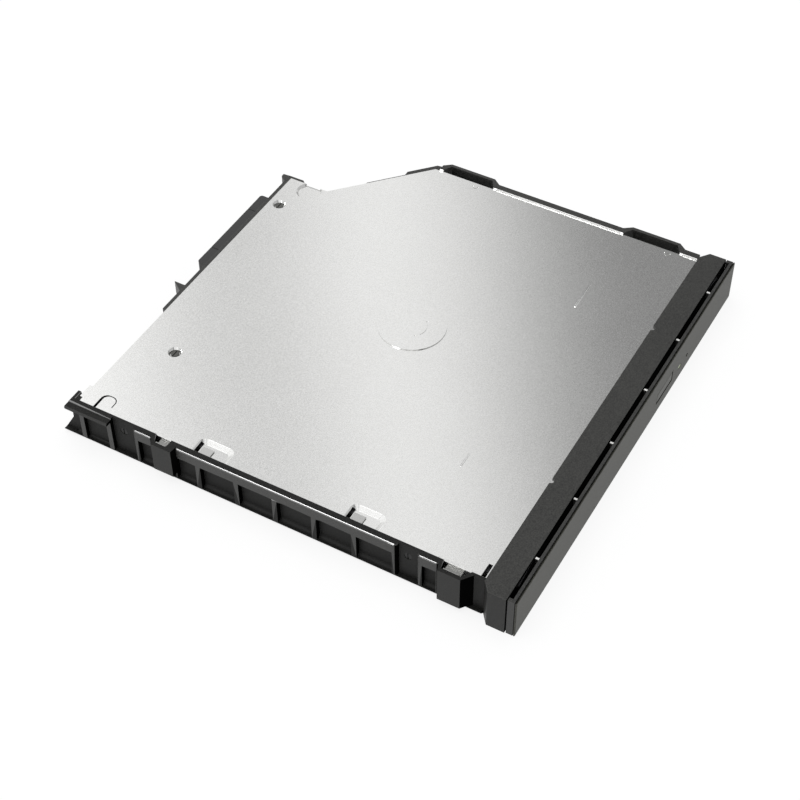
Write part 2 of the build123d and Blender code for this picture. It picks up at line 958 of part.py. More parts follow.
def add_folds(sheet):
    """Rolls the cover's side edges down where the rail stands beside them."""
    corner = half_width - fold_run
    wedge = Polyline(
        (corner, drive_top_z),
        (half_width, drive_top_z),
        (half_width, drive_top_z - fold_drop),
        close=True,
    )
    for low, high in right_folds:
        plane = Plane((0, high, 0), x_dir=(1, 0, 0), z_dir=(0, -1, 0))
        sheet -= extrude(plane * make_face(wedge), high - low)
    for low, high in left_folds:
        plane = Plane((0, high, 0), x_dir=(1, 0, 0), z_dir=(0, -1, 0))
        sheet -= mirrored(extrude(plane * make_face(wedge), high - low))
    return sheet


def lance(x, y):
    """Cutter for one small half-round lance near the right edge."""
    low = drive_top_z - cover_sheet / 2
    ring = post(x, y, low, drive_top_z, lance_radius)
    ring -= post(x, y, low, drive_top_z, lance_radius - lance_width)
    return ring & block(x - 1, x + lance_width, y - 1, y + 1, low, drive_top_z)


def spring_tongue():
    """Cutter for the slit around the spring tongue at the rear left."""
    low = cover_under_z
    high = drive_top_z
    left = -half_width - tongue_round
    outer_right = tongue_right + tongue_gap
    outer = rounded_slab(
        left,
        outer_right,
        tongue_front - tongue_gap,
        tongue_rear + tongue_rear_gap,
        tongue_round + tongue_gap,
    )
    inner = rounded_slab(left, tongue_right, tongue_front, tongue_rear, tongue_round)
    slit = outer - inner
    middle = (tongue_front + tongue_rear) / 2
    slit -= block(left, tongue_left_root, tongue_front - 1, middle, low, high)
    return slit


def rounded_slab(x0, x1, y0, y1, radius):
    """A plate as thick as the cover, with rounded corners in plan."""
    shape = RectangleRounded(x1 - x0, y1 - y0, radius)
    place = Pos((x0 + x1) / 2, (y0 + y1) / 2, cover_under_z)
    return extrude(place * shape, cover_sheet)


def top_cover():
    """Smooth pressed cover with its bump, windows, notch and screw dimples."""
    sheet = slab(case_outline(0), cover_under_z, drive_top_z)
    sheet += block(
        lug_left, lug_right, rear_y, rear_y + lug_reach, cover_under_z, drive_top_z
    )
    skirt_out = -inner_half + rail_clearance
    for low, high in skirt_ranges:
        sheet += block(
            skirt_out,
            skirt_out + skirt_thickness,
            low,
            high,
            cover_under_z - cover_skirt,
            cover_under_z,
        )
    sheet += post(hub_x, hub_y, drive_top_z, drive_top_z + bump_height, bump_radius)
    under_radius = bump_radius - cover_sheet
    sheet -= post(
        hub_x, hub_y, cover_under_z, cover_under_z + bump_height, under_radius
    )
    sheet -= hub_marks()
    sheet = add_notch(sheet)
    for low, high in window_ys:
        sheet = add_window(sheet, low, high)
    line_y = rear_y - emboss_from_rear
    line_top = drive_top_z + emboss_height
    for x0, x1 in emboss_lines:
        sheet += block(x0, x1, line_y, line_y + emboss_width, drive_top_z, line_top)
    for x, from_rear in cover_screw_places:
        sheet = add_screw_dimple(sheet, x, rear_y - from_rear)
    sheet -= spring_tongue()
    for x, y in lance_places:
        sheet -= lance(x, y)
    sheet -= block(
        -half_width,
        bar_slot_right,
        bar_slot_front,
        bar_slot_rear,
        cover_under_z,
        drive_top_z,
    )
    return add_folds(sheet)


def cover_screws():
    """Pan-head screws at the bottom of the cover's dimples."""
    screws = []
    seat = drive_top_z - dimple_depth
    head_top = seat + cover_head_height
    for x, from_rear in cover_screw_places:
        y = rear_y - from_rear
        screw = post(x, y, seat, head_top, cover_head_radius)
        screw += post(x, y, seat - cover_shank, seat, screw_radius)
        slot = Box(2 * cover_head_radius, slot_width, cover_head_height)
        screws.append(screw - Pos(x, y, head_top) * slot)
    return Compound(children=screws)


# Boards in the case

board_left = 6.0 - half_width
board_right = -24.0
board_front = 14.0
board_step_y = 38.0
board_arm_right = 30.0
board_rear_gap = 3.0
post_clearance = 0.4
connector_margin = 0.5
connector_height = 2.85
connector_length = 8.0
connector_mouth = 5.0
connector_wall = 0.8
connector_tongue = 0.7
connector_tongues = ((-1.5, 6.5), (8.5, 21.5))
connector_end_gap = 0.1
chip_edge = 0.15
film_border = 0.8
chip_sizes = (
    (-44.0, 40.0, 12.0, 12.0, 1.1),
    (-32.0, 24.0, 7.0, 7.0, 0.9),
    (-50.0, 25.0, 6.0, 4.0, 0.9),
    (-20.0, 46.0, 5.0, 6.0, 1.0),
    (-12.0, 52.0, 4.0, 3.0, 0.8),
    (-29.0, 34.0, 3.0, 2.4, 1.2),
)


def board_outline(margin):
    rear = rear_y - board_rear_gap + margin
    return [
        (board_left - margin, board_front - margin),
        (board_right + margin, board_front - margin),
        (board_right + margin, board_step_y - margin),
        (board_arm_right + margin, board_step_y - margin),
        (board_arm_right + margin, rear),
        (board_left - margin, rear),
    ]


def clear_of_posts(shape):
    """Cuts holes where the case posts pass through a board."""
    for x, from_rear in cover_screw_places:
        radius = post_radius + post_clearance
        shape -= post(x, rear_y - from_rear, case_floor_z, board_top_z, radius)
    return shape


def board_film():
    """Insulating film under the main board."""
    return clear_of_posts(slab(board_outline(film_border), case_floor_z, film_top_z))


def main_board():
    """Main circuit board, an L in the rear left of the case."""
    return clear_of_posts(slab(board_outline(0), film_top_z, board_top_z))


def board_chips():
    """Packages on the main board, as one group of separate solids."""
    chips = []
    for x, y, width, depth, height in chip_sizes:
        chip = Pos(x, y, board_top_z + height / 2) * Box(width, depth, height)
        chips.append(chamfer(chip.faces().sort_by(Axis.Z)[-1].edges(), chip_edge))
    return Compound(children=chips)


def drive_connector():
    """The drive's own connector, in the slot of the rear wall."""
    low = board_top_z
    top = low + connector_height
    left = connector_slot_left + connector_margin
    right = connector_slot_right - connector_margin
    end = rear_y - connector_end_gap
    back = rear_y - connector_mouth
    wall = connector_wall
    body = block(left, right, rear_y - connector_length, end, low, top)
    body -= block(left + 1, right - 1, back, end, low + wall, top - wall)
    for x0, x1 in connector_tongues:
        tongue_top = low + wall + connector_tongue
        body += block(x0, x1, back, end - wall, low + wall, tongue_top)
    return body


# Flat cable between the main board and the tray

flex_left = -54.0
flex_right = -42.0
flex_fold_y = -50.0
flex_low_z = case_floor_z + 0.03
flex_high_z = underside_z - 0.05 - flex_thickness
flex_socket_y = 17.0
flex_drop_y = 10.8
flex_plug_z = board_top_z + 0.5
flex_rise = 1.2
flex_bite = 0.5
socket_depth = 3.6
socket_height = 1.1
board_socket_side = 1.5
tray_socket_side = 1.0
tray_board_left = -58.0
tray_board_right = -38.0
tray_board_front = -3.0
tray_board_rear = 7.5
tray_board_z = tray_under_z - 1.0
tray_socket_height = 1.3


def board_flex_socket():
    """Socket on the main board for the flat cable to the tray."""
    left = flex_left - board_socket_side
    right = flex_right + board_socket_side
    rear = flex_socket_y + socket_depth
    top = board_top_z + socket_height
    return block(left, right, flex_socket_y, rear, board_top_z, top)


def flex_run(y0, y1, z0, z1):
    return block(flex_left, flex_right, y0, y1, z0, z1)


def tray_flex():
    """Flat cable from the main board, folded once under the tray."""
    sheet = flex_thickness
    plug_z = flex_plug_z
    tray_plug_z = tray_board_z - tray_socket_height / 2
    rise_y = tray_board_rear + flex_rise
    tray_plug_y = tray_board_rear - flex_bite
    cable = flex_run(flex_drop_y, flex_socket_y, plug_z, plug_z + sheet)
    cable += flex_run(flex_drop_y, flex_drop_y + sheet, flex_low_z, plug_z + sheet)
    cable += flex_run(flex_fold_y, flex_drop_y, flex_low_z, flex_low_z + sheet)
    cable += flex_run(
        flex_fold_y - sheet, flex_fold_y, flex_low_z, flex_high_z + sheet
    )
    cable += flex_run(flex_fold_y, rise_y, flex_high_z, flex_high_z + sheet)
    cable += flex_run(rise_y, rise_y + sheet, flex_high_z, tray_plug_z + sheet)
    cable += flex_run(tray_plug_y, rise_y, tray_plug_z, tray_plug_z + sheet)
    return cable


def tray_flex_socket():
    """Socket under the tray board that takes the flat cable."""
    left = flex_left - tray_socket_side
    right = flex_right + tray_socket_side
    rear = tray_board_rear - flex_bite
    low = tray_board_z - tray_socket_height
    return block(left, right, rear - socket_depth, rear, low, tray_board_z)


def tray_board():
    """Small board under the tray floor where the flat cable ends."""
    return block(
        tray_board_left,
        tray_board_right,
        tray_board_front,
        tray_board_rear,
        tray_board_z,
        tray_board_z + board_thickness,
    )


# Telescoping slides

slide_rear_gap = 5.0
left_slide_rear = rear_y - slide_rear_gap
right_slide_rear = 22.0
slide_front = drive_front_y + 1.0
guide_front = drive_front_y + 0.4
guide_lip_gap = 0.15
guide_lip = 1.0
guide_stop = 1.5
guide_end_gap = 0.5


def slide_rail(rear):
    """C-section steel slide, drawn on the +X side."""
    rail = block(
        slide_web_in, slide_web_out, slide_front, rear, slide_low_z, slide_high_z
    )
    for low in (slide_low_z, slide_high_z - slide_sheet):
        rail += block(
            slide_tip, slide_web_in, slide_front, rear, low, low + slide_sheet
        )
    return rail


def left_slide_rail():
    return mirrored(slide_rail(left_slide_rear))


def right_slide_rail():
    return slide_rail(right_slide_rear)


def slide_guide(rear):
    """Moulded channel on the case wall in which one slide runs."""
    stop = rear + guide_end_gap
    end = stop + guide_stop
    low_top = slide_low_z - guide_lip_gap
    high_low = slide_high_z + guide_lip_gap
    top = high_low + guide_lip
    guide = block(guide_in, inner_half, guide_front, end, case_floor_z, low_top)
    guide += block(guide_in, inner_half, guide_front, end, high_low, top)
    guide += block(guide_in, inner_half, stop, end, case_floor_z, top)
    return guide


def left_slide_guide():
    return mirrored(slide_guide(left_slide_rear))


def right_slide_guide():
    return slide_guide(right_slide_rear)


# Tray

board_rib = 0.7
skirt_gap = 2.0
tongue_margin = 1.0
thumb_cut_x = -52.0
thumb_cut_y = 40.0
thumb_cut_radius = 16.0
thumb_cut_step = 0.8
screw_bite = 0.6
ear_radius = 3.4
ear_reach = 4.5
ear_places = (
    (5.0, deck_low_side - ear_reach),
    (5.0, deck_high_side + ear_reach),
    (58.0, deck_low_side - ear_reach),
)
damper_radius = 2.5
damper_reach = 0.4
boss_radius = 2.6
boss_low_z = deck_top_z + 0.65
latch_pivot_x = 55.0
latch_pivot_y = -50.0
latch_pivot_radius = 0.9
latch_post_x = 48.5
latch_post_y = -40.0
latch_post_radius = 1.0
latch_low_z = 4.4
latch_high_z = 5.6
latch_released = -14.0
latch_post_top = 6.0
latch_post_edge = 0.2
latch_foot = 0.2
latch_foot_radius = 2.0
lever_hub_radius = 2.3
lever_outline = (
    (-1.6, 0.0),
    (-2.6, 11.2),
    (-7.7, 11.2),
    (-7.7, 13.2),
    (0.6, 13.2),
    (1.6, 0.0),
    (0.2, -6.5),
    (-1.6, -6.5),
)
clip_low_z = 4.1
clip_high_z = 4.35
clip_radius = 1.7
solenoid_left = 40.0
solenoid_right = 50.0
solenoid_front = -59.0
solenoid_rear = -54.0
solenoid_low_z = 4.3
solenoid_window = 2.0
solenoid_recess = 0.8
plunger_reach = 1.2
plunger_z = 5.6
plunger_radius = 0.8
tray_front_wall = 1.6
underside_right = 36.0
underside_screw_places = ((-54.0, -57.0), (-4.0, -60.2), (33.0, -44.0), (33.0, 12.0))
underside_boss = 2.0
button_board_z = 4.0
button_board_top = 4.5
button_board_left = 10.0
button_board_right = 32.0
button_board_depth = 6.3
button_post_xs = (12.0, 27.5)
button_post_setback = 6.0
button_post_y = tray_front_y + button_post_setback
button_post_radius = 1.0
stem_half = button_width / 2 - 1.5
stem_tall = 1.0
stem_slack = 0.3
stem_end_gap = 0.2
pin_slack = 0.1
light_slack_x = 0.3
light_slack_z = 0.4
latch_boss_low_z = 4.0
underside_margin = 0.1
underside_front = 0.2
underside_arm_y = 7.5
underside_notch_x = -25.5
underside_rear_y = 28.0
underside_rear_left = -5.0
underside_rear_right = 28.0
underside_side_y = 20.0
underside_hole_radius = 1.2
underside_head = 0.15
underside_head_radius = 1.5
underside_bite = 0.4


def local_post(x, y, z0, z1, radius):
    """An upright cylinder placed on the mechanism's own axes."""
    return deck_place * post(x, y, z0, z1, radius)


def local_block(x0, x1, y0, y1, z0, z1):
    """A cuboid placed on the mechanism's own axes."""
    return deck_place * block(x0, x1, y0, y1, z0, z1)


def tray_shell():
    """Rim, disc recess, floor and skirts of the tray."""
    outline = outline_inset(half_width - tray_half_width, tray_front_y, tray_rear_y)
    body = slab(outline, tray_under_z, tray_rim_z)
    recess_radius = disc_radius + disc_margin
    body -= post(hub_x, hub_y, tray_floor_z, tray_rim_z, recess_radius)
    body -= post(
        hub_x + thumb_cut_x,
        hub_y + thumb_cut_y,
        tray_floor_z + thumb_cut_step,
        tray_rim_z,
        thumb_cut_radius,
    )
    low = tray_skirt_z
    top = tray_under_z
    side = tray_half_width
    right_rear = rear_y - cut_corner_start - cut_corner_run_y - skirt_gap
    left_rear = tray_rear_y - skirt_gap
    front_rear = tray_front_y + tray_front_wall
    body += block(-side, side, tray_front_y, front_rear, low, top)
    body += block(-side, tray_wall - side, tray_front_y, left_rear, low, top)
    body += block(side - tray_wall, side, tray_front_y, right_rear, low, top)
    tongue_low = slide_mid_z - tongue_height / 2
    tongue_high = slide_mid_z + tongue_height / 2
    front = slide_front + tongue_margin
    rear = right_slide_rear - tongue_margin
    body += block(side, tongue_x, front, rear, tongue_low, tongue_high)
    rear = left_slide_rear - tongue_margin
    body += block(-tongue_x, -side, front, rear, tongue_low, tongue_high)
    return body


def tray_cutters():
    """Everything that is cut out of the tray, as one list of shapes."""
    front_rear = tray_front_y + tray_front_wall
    cutters = [
        local_block(
            window_inner,
            window_outer,
            window_low,
            window_high,
            tray_under_z,
            tray_floor_z,
        ),
        block(
            button_x - stem_half - stem_slack,
            button_x + stem_half + stem_slack,
            tray_front_y,
            front_rear,
            button_z - stem_tall - stem_slack,
            button_z + stem_tall + stem_slack,
        ),
        lying(
            pin_hole_x,
            tray_front_y,
            front_rear,
            pin_hole_z,
            pin_hole_radius + pin_slack,
        ),
        block(
            light_x - light_half_width - light_slack_x,
            light_x + light_half_width + light_slack_x,
            tray_front_y,
            front_rear,
            tray_skirt_z,
            pin_hole_z + light_half_height + light_slack_z,
        ),
    ]
    for x, from_rear in cover_screw_places:
        half = post_radius + post_clearance
        front = rear_y - from_rear - half
        cutters.append(block(x - half, x + half, front, tray_rear_y, 0, tray_rim_z))
    return cutters


def tray():
    """The moulded tray that carries the disc and the whole mechanism."""
    body = tray_shell()
    for x, y in ear_places:
        body += local_post(x, y, boss_low_z, tray_under_z, boss_radius)
    for x, y in underside_screw_places:
        body += post(x, y, underside_top_z, tray_under_z, underside_boss)
    for x in button_post_xs:
        body += post(
            x, button_post_y, button_board_top, tray_under_z, button_post_radius
        )
    body += block(
        tray_board_left + board_rib,
        tray_board_left + 2 * board_rib,
        tray_board_front,
        tray_board_rear,
        tray_board_z + board_thickness,
        tray_under_z,
    )
    body += post(
        latch_pivot_x,
        latch_pivot_y,
        latch_boss_low_z,
        tray_under_z,
        latch_pivot_radius,
    )
    for cutter in tray_cutters():
        body -= cutter
    hole = screw_radius + screw_fit
    for x, y in ear_places:
        body -= local_post(x, y, boss_low_z, tray_under_z + screw_bite, hole)
    for x, y in underside_screw_places:
        body -= post(x, y, underside_top_z, tray_under_z, hole)
    return body


def tray_underside():
    """Thin steel sheet that closes the mechanism from below."""
    left = -tray_half_width + underside_margin
    front = tray_front_y + underside_front
    outline = [
        (left, front),
        (underside_right, front),
        (underside_right, underside_side_y),
        (underside_rear_right, underside_rear_y),
        (underside_rear_left, underside_rear_y),
        (underside_notch_x, underside_arm_y),
        (left, underside_arm_y),
    ]
    sheet = slab(outline, underside_z, underside_top_z)
    for x, y in underside_screw_places:
        sheet -= post(x, y, underside_z, underside_top_z, screw_radius + screw_fit)
    for x, y in ear_places:
        sheet -= local_post(
            x, y, underside_z, underside_top_z, underside_hole_radius
        )
    return sheet


def underside_screws():
    """Low screws that hold the sheet to the tray."""
    screws = []
    head_low = underside_z - underside_head
    tip = tray_under_z - underside_bite
    for x, y in underside_screw_places:
        head = post(x, y, head_low, underside_z, underside_head_radius)
        shank = post(x, y, underside_z, tip, screw_radius)
        screws.append(head + shank)
    return Compound(children=screws)


def latch_post():
    """Steel post on the case floor that the tray's latch hooks."""
    x = latch_post_x
    y = latch_post_y
    column = post(x, y, case_floor_z, latch_post_top, latch_post_radius)
    column = chamfer(column.faces().sort_by(Axis.Z)[-1].edges(), latch_post_edge)
    foot_top = case_floor_z + latch_foot
    return column + post(x, y, case_floor_z, foot_top, latch_foot_radius)


def latch_lever():
    """Hooked lever, shown swung clear of its post."""
    lever = slab(lever_outline, latch_low_z, latch_high_z)
    lever += post(0, 0, latch_low_z, latch_high_z, lever_hub_radius)
    lever -= post(
        0, 0, latch_low_z, latch_high_z, latch_pivot_radius + running_clearance
    )
    return Pos(latch_pivot_x, latch_pivot_y, 0) * Rot(0, 0, latch_released) * lever


def latch_clip():
    """Retaining ring under the lever."""
    x = latch_pivot_x
    y = latch_pivot_y
    ring = post(x, y, clip_low_z, clip_high_z, clip_radius)
    return ring - post(x, y, clip_low_z, clip_high_z, latch_pivot_radius)


def latch_solenoid():
    """Small solenoid that pulls the lever's tail."""
    low = solenoid_low_z
    left = solenoid_left
    right = solenoid_right
    front = solenoid_front
    body = block(left, right, front, solenoid_rear, low, tray_under_z)
    body -= block(
        left + solenoid_window,
        right - solenoid_window,
        front,
        front + solenoid_recess,
        low,
        tray_under_z,
    )
    middle = (front + solenoid_rear) / 2
    return body + bar_along_x(
        right, right + plunger_reach, middle, plunger_z, plunger_radius
    )


# Bezel


def button_opening(y0, y1):
    """Cutter for the button's opening in the bezel."""
    half = button_width / 2
    tall = button_height / 2
    return block(
        button_x - half, button_x + half, y0, y1, button_z - tall, button_z + tall
    )


def bezel_openings(y0, y1):
    """Button opening, emergency pin hole and light window together."""
    pin = lying(pin_hole_x, y0, y1, pin_hole_z, pin_hole_radius)
    low = pin_hole_z - light_half_height
    high = pin_hole_z + light_half_height
    light = block(light_x - light_half_width, light_x + light_half_width, y0, y1, low, high)
    return [button_opening(y0, y1), pin, light]


light_gap = 0.05
light_recess = 0.1
bezel_top_z = bay_height + 0.05
bezel_backing = 1.0
bezel_edge = 0.2
channel_rib_drop = 0.3
channel_rib_count = 6
bezel_wall = 0.8
bezel_return = 1.0
channel_rib = 0.6
channel_rib_spacing = 21.17
body_front_y = bezel_front_y + bezel_face_thickness + bezel_groove
web_rear_y = body_front_y + bezel_wall


def bezel_frame():
    """Moulded front of the tray, with its returns and six small ribs."""
    half = bezel_half
    low = bezel_foot
    top = bezel_top_z
    frame = block(-half, half, body_front_y, web_rear_y, low, top)
    inner = half - bezel_return
    frame += block(-half, -inner, web_rear_y, bezel_rear_y, low, top)
    frame += block(inner, half, web_rear_y, bezel_rear_y, low, top)
    frame += block(-half, half, web_rear_y, bezel_rear_y, low, low + bezel_return)
    face_rear = body_front_y - bezel_groove
    edge = bezel_backing
    frame += block(
        edge - half, half - edge, face_rear, body_front_y, low + edge, top - edge
    )
    rib = channel_rib / 2
    rib_top = top - channel_rib_drop
    for i in range(channel_rib_count):
        x = (i - (channel_rib_count - 1) / 2) * channel_rib_spacing
        frame += block(x - rib, x + rib, web_rear_y, bezel_rear_y, low, rib_top)
    for cutter in bezel_openings(bezel_front_y, bezel_rear_y):
        frame -= cutter
    return frame


def bezel_face():
    """Thin face plate in front of the bezel frame."""
    rear = bezel_front_y + bezel_face_thickness
    face = block(
        -bezel_half, bezel_half, bezel_front_y, rear, bezel_foot, bezel_top_z
    )
    face = chamfer(face.faces().sort_by(Axis.Y)[0].edges(), bezel_edge)
    for cutter in bezel_openings(bezel_front_y, rear):
        face -= cutter
    return face


def eject_button():
    """Push button in the bezel, with a stem towards its switch."""
    half = button_width / 2 - button_gap
    tall = button_height / 2 - button_gap
    left = button_x - half
    right = button_x + half
    front = bezel_front_y
    back = web_rear_y
    cap = block(left, right, front, back, button_z - tall, button_z + tall)
    cap = fillet(cap.faces().sort_by(Axis.Y)[0].edges(), bezel_edge)
    stem_end = tray_front_y + tray_front_wall - stem_end_gap
    return cap + block(
        button_x - stem_half,
        button_x + stem_half,
        back,
        stem_end,
        button_z - stem_tall,
        button_z + stem_tall,
    )


def status_light():
    """Light pipe from the button board to the bezel's face."""
    half = light_half_width - light_gap
    tall = light_half_height - light_gap
    return block(
        light_x - half,
        light_x + half,
        bezel_front_y + light_recess,
        tray_front_y + tray_front_wall,
        pin_hole_z - tall,
        pin_hole_z + tall,
    )


def button_board():
    """Narrow board behind the bezel that carries the eject switch."""
    front = tray_front_y + tray_front_wall
    return block(
        button_board_left,
        button_board_right,
        front,
        front + button_board_depth,
        button_board_z,
        button_board_top,
    )


switch_setback = 1.3
switch_half = 2.6
switch_depth = 3.3
switch_top = 6.7
pusher_half = 0.9
pusher_reach = 0.7
pusher_tall = 0.6


def eject_switch():
    """Side-push switch behind the button."""
    x = button_x
    front = tray_front_y + tray_front_wall + switch_setback
    rear = front + switch_depth
    body = block(
        x - switch_half, x + switch_half, front, rear, button_board_top, switch_top
    )
    return body + block(
        x - pusher_half,
        x + pusher_half,
        front - pusher_reach,
        front,
        button_z - pusher_tall,
        button_z + pusher_tall,
    )


# Pickup mechanism

sled_low = -13.4
sled_high = 10.2
sled_mid = (sled_inner + sled_outer) / 2
bush_setback = 2.2
bush_half = 1.6
bush_arm = 0.9
fork_half = 1.5
fork_slot = 1.0
fork_out = rod_high + 1.2
fork_setback = 2.0
fork_in = rod_high - fork_setback
bridge_top = 6.0
bridge_root = 1.0
sled_pocket_start = 2.0
sled_pocket_end = 6.5
sled_pocket_low = -8.0
sled_pocket_high = 4.0
sled_pocket_z = 7.2
lens_y = -1.5
lens_low_z = 7.3
lens_edge_z = 8.1
lens_dome_radius = 2.75
lens_dome_drop = 2.2
lens_crown_z = 9.0
holder_radius = 3.2
holder_low_z = 6.8
holder_step_z = 7.9
holder_top_z = 8.2
holder_lip = 0.7
well_radius = 3.7
well_floor_z = 6.4
nut_half = 2.6
nut_reach = 1.3
nut_low_z = 6.0
nut_high_z = 8.1
journal_radius = 0.5
journal_start = 0.3
journal_reach = 0.5
screw_end = travel_end - journal_start
motor_radius = 3.2
motor_half = 3.4
motor_top_z = 8.15
motor_bore_depth = 0.6
motor_bore_radius = 0.55
bracket_half = 1.8
screw_bracket_top_z = 8.1
bracket_sheet = 0.5
bracket_bore_radius = 0.54
deck_opening_start = 14.5
deck_opening_side = 2.2
deck_opening_rod_side = 1.8
deck_ear_bore = 1.75
saddle_half = 1.2
clip_half = 1.4
clip_rise = 1.2
damper_slack = 0.1
damper_groove = 0.8
deck_screw_bite = 0.4
window_start = 12.0
window_low_side = -9.0
window_high_side = 6.5
window_hub_gap = 1.0


def traverse_deck():
    """Pressed steel deck that carries motor, rods and lead screw."""
    plate = block(
        deck_inner, deck_outer, deck_low_side, deck_high_side, deck_z, deck_top_z
    )
    for x, y in ear_places:
        plate += post(x, y, deck_z, deck_top_z, ear_radius)
        side = deck_low_side if y < 0 else deck_high_side
        low, high = sorted((y, side))
        plate += block(x - ear_radius, x + ear_radius, low, high, deck_z, deck_top_z)
    plate -= block(
        deck_opening_start,
        travel_end,
        rod_low + deck_opening_side,
        rod_high - deck_opening_rod_side,
        deck_z,
        deck_top_z,
    )
    for x, y in ear_places:
        plate -= post(x, y, deck_z, deck_top_z, deck_ear_bore)
    plate -= post(0, 0, deck_z, deck_top_z, bearing_radius + screw_fit)
    saddle_top = rod_z - rod_radius
    for y in (rod_low, rod_high):
        for x in (rod_inner, rod_outer - saddle_length):
            end = x + saddle_length
            plate += block(
                x, end, y - saddle_half, y + saddle_half, deck_top_z, saddle_top
            )
    return deck_place * plate


def deck_dampers():
    """Rubber grommets between the deck's ears and the tray's bosses."""
    dampers = []
    low = deck_z - damper_reach
    for x, y in ear_places:
        ring = post(x, y, low, boss_low_z, damper_radius)
        ring -= post(x, y, low, boss_low_z, screw_radius + damper_slack)
        groove = post(x, y, deck_z, deck_top_z, damper_radius)
        groove -= post(x, y, deck_z, deck_top_z, damper_radius - damper_groove)
        dampers.append(deck_place * (ring - groove))
    return Compound(children=dampers)


def deck_screws():
    """Shoulder screws up through the dampers into the tray."""
    screws = []
    head_z = deck_z - damper_reach - screw_head
    for x, y in ear_places:
        tip_z = tray_under_z + deck_screw_bite
        screws.append(deck_place * low_screw(x, y, head_z, tip_z))
    return Compound(children=screws)


def guide_rods():
    """The two ground rods on which the pickup runs."""
    rods = []
    for y in (rod_low, rod_high):
        rods.append(deck_place * bar_along_x(rod_inner, rod_outer, y, rod_z, rod_radius))
    return Compound(children=rods)


def rod_clips():
    """Small moulded clips that press each rod end on its saddle."""
    clips = []
    starts = (rod_inner + saddle_length, rod_outer - 2 * saddle_length)
    for y in (rod_low, rod_high):
        for x in starts:
            end = x + saddle_length
            clip = block(
                x, end, y - clip_half, y + clip_half, deck_top_z, rod_z + clip_rise
            )
            clip -= bar_along_x(x, end, y, rod_z, rod_radius + screw_fit)
            clips.append(deck_place * clip)
    return Compound(children=clips)


sleeve_drop = 0.5
sleeve_top_z = 7.5
sleeve_base = 0.4
stator_flange = 0.35
stator_flange_reach = 1.0
core_low_z = 6.1
core_high_z = 7.3
core_radius = 4.4
pole_start = 3.8
pole_neck = 7.4
pole_end = 8.3
pole_half = 0.6
pole_tip_start = 7.3
pole_tip_half = 1.7


def stator_pole(i):
    """One T-shaped pole of the wound core."""
    half = pole_half
    low = core_low_z
    high = core_high_z
    pole = block(pole_start, pole_neck, -half, half, low, high)
    pole += block(pole_tip_start, pole_end, -pole_tip_half, pole_tip_half, low, high)
    return Rot(0, 0, i * 360 / pole_count) * pole


def spindle_stator():
    """Bearing sleeve and wound core of the spindle motor."""
    sleeve_low = deck_z - sleeve_drop
    sleeve = post(0, 0, sleeve_low, sleeve_top_z, bearing_radius)
    flange_radius = rotor_radius + stator_flange_reach
    flange = post(0, 0, deck_top_z, deck_top_z + stator_flange, flange_radius)
    core = post(0, 0, core_low_z, core_high_z, core_radius)
    for i in range(pole_count):
        core += stator_pole(i)
    bore_low = sleeve_low + sleeve_base
    bore = post(0, 0, bore_low, sleeve_top_z, shaft_radius + running_clearance)
    return deck_place * (sleeve + flange + core - bore)


claw_width = 3.4
claw_low_z = 9.7
claw_high_z = 10.4
claw_inner = 4.6
claw_reach = 0.35
claw_gap = 0.15
claw_slack = 0.3
claw_edge = 0.2


def claw_turn(i):
    """Placement of one claw around the spindle."""
    return Pos(hub_x, hub_y, 0) * Rot(0, 0, 90 + i * 360 / claw_count)


def claw_pocket():
    """Cutter for the radial slot of one claw."""
    half = claw_width / 2 + claw_gap
    start = claw_inner - claw_travel - claw_slack
    low = claw_low_z - claw_gap
    return block(start, hub_nose_radius + 1, -half, half, low, claw_high_z + claw_gap)


def disc_claw(i):
    """One sprung claw that holds the disc by its centre hole."""
    half = claw_width / 2
    end = hub_nose_radius + claw_reach
    claw = block(claw_inner, end, -half, half, claw_low_z, claw_high_z)
    claw = chamfer(claw.faces().sort_by(Axis.X)[-1].edges(), claw_edge)
    return claw_turn(i) * claw


def disc_claw_1():
    return disc_claw(0)


def disc_claw_2():
    return disc_claw(1)


def disc_claw_3():
    return disc_claw(2)


pad_thickness = 0.2
pad_width = 3.6
rotor_roof = 0.7
nose_edge = 0.5
nose_recess = 0.4
nose_recess_radius = 3.6


def turntable():
    """Rotor cup, disc seat, hub nose and shaft in one turning piece."""
    cup_top = disc_seat_z - turntable_thickness
    seat_top = disc_seat_z - pad_thickness
    cup = post(0, 0, rotor_bottom_z, cup_top, rotor_radius)
    cup_under = cup_top - rotor_roof
    cup -= post(0, 0, rotor_bottom_z, cup_under, rotor_radius - rotor_wall)
    seat = post(0, 0, cup_top, seat_top, turntable_radius)
    nose = post(0, 0, seat_top, hub_nose_top, hub_nose_radius)
    nose = chamfer(nose.faces().sort_by(Axis.Z)[-1].edges(), nose_edge)
    recess_z = hub_nose_top - nose_recess
    nose -= post(0, 0, recess_z, hub_nose_top, nose_recess_radius)
    shaft = post(0, 0, deck_z, cup_top, shaft_radius)
    table = Pos(hub_x, hub_y, 0) * (cup + seat + nose + shaft)
    for i in range(claw_count):
        table -= claw_turn(i) * claw_pocket()
    return table


def turntable_pad():
    """Rubber ring that grips the disc."""
    low = disc_seat_z - pad_thickness
    ring = post(hub_x, hub_y, low, disc_seat_z, turntable_radius)
    return ring - post(hub_x, hub_y, low, disc_seat_z, turntable_radius - pad_width)


def sled_bushes(body):
    """Adds the two bushes that slide along the low rod."""
    bore = rod_radius + running_clearance
    arm_low = rod_z - bush_arm
    arm_high = rod_z + bush_arm
    for x in (sled_inner + bush_setback, sled_outer - bush_setback):
        left = x - bush_half
        right = x + bush_half
        body += block(left, right, rod_low, sled_low, arm_low, arm_high)
        body += bar_along_x(left, right, rod_low, rod_z, rod_bush_radius)
        body -= bar_along_x(left, right, rod_low, rod_z, bore)
    return body


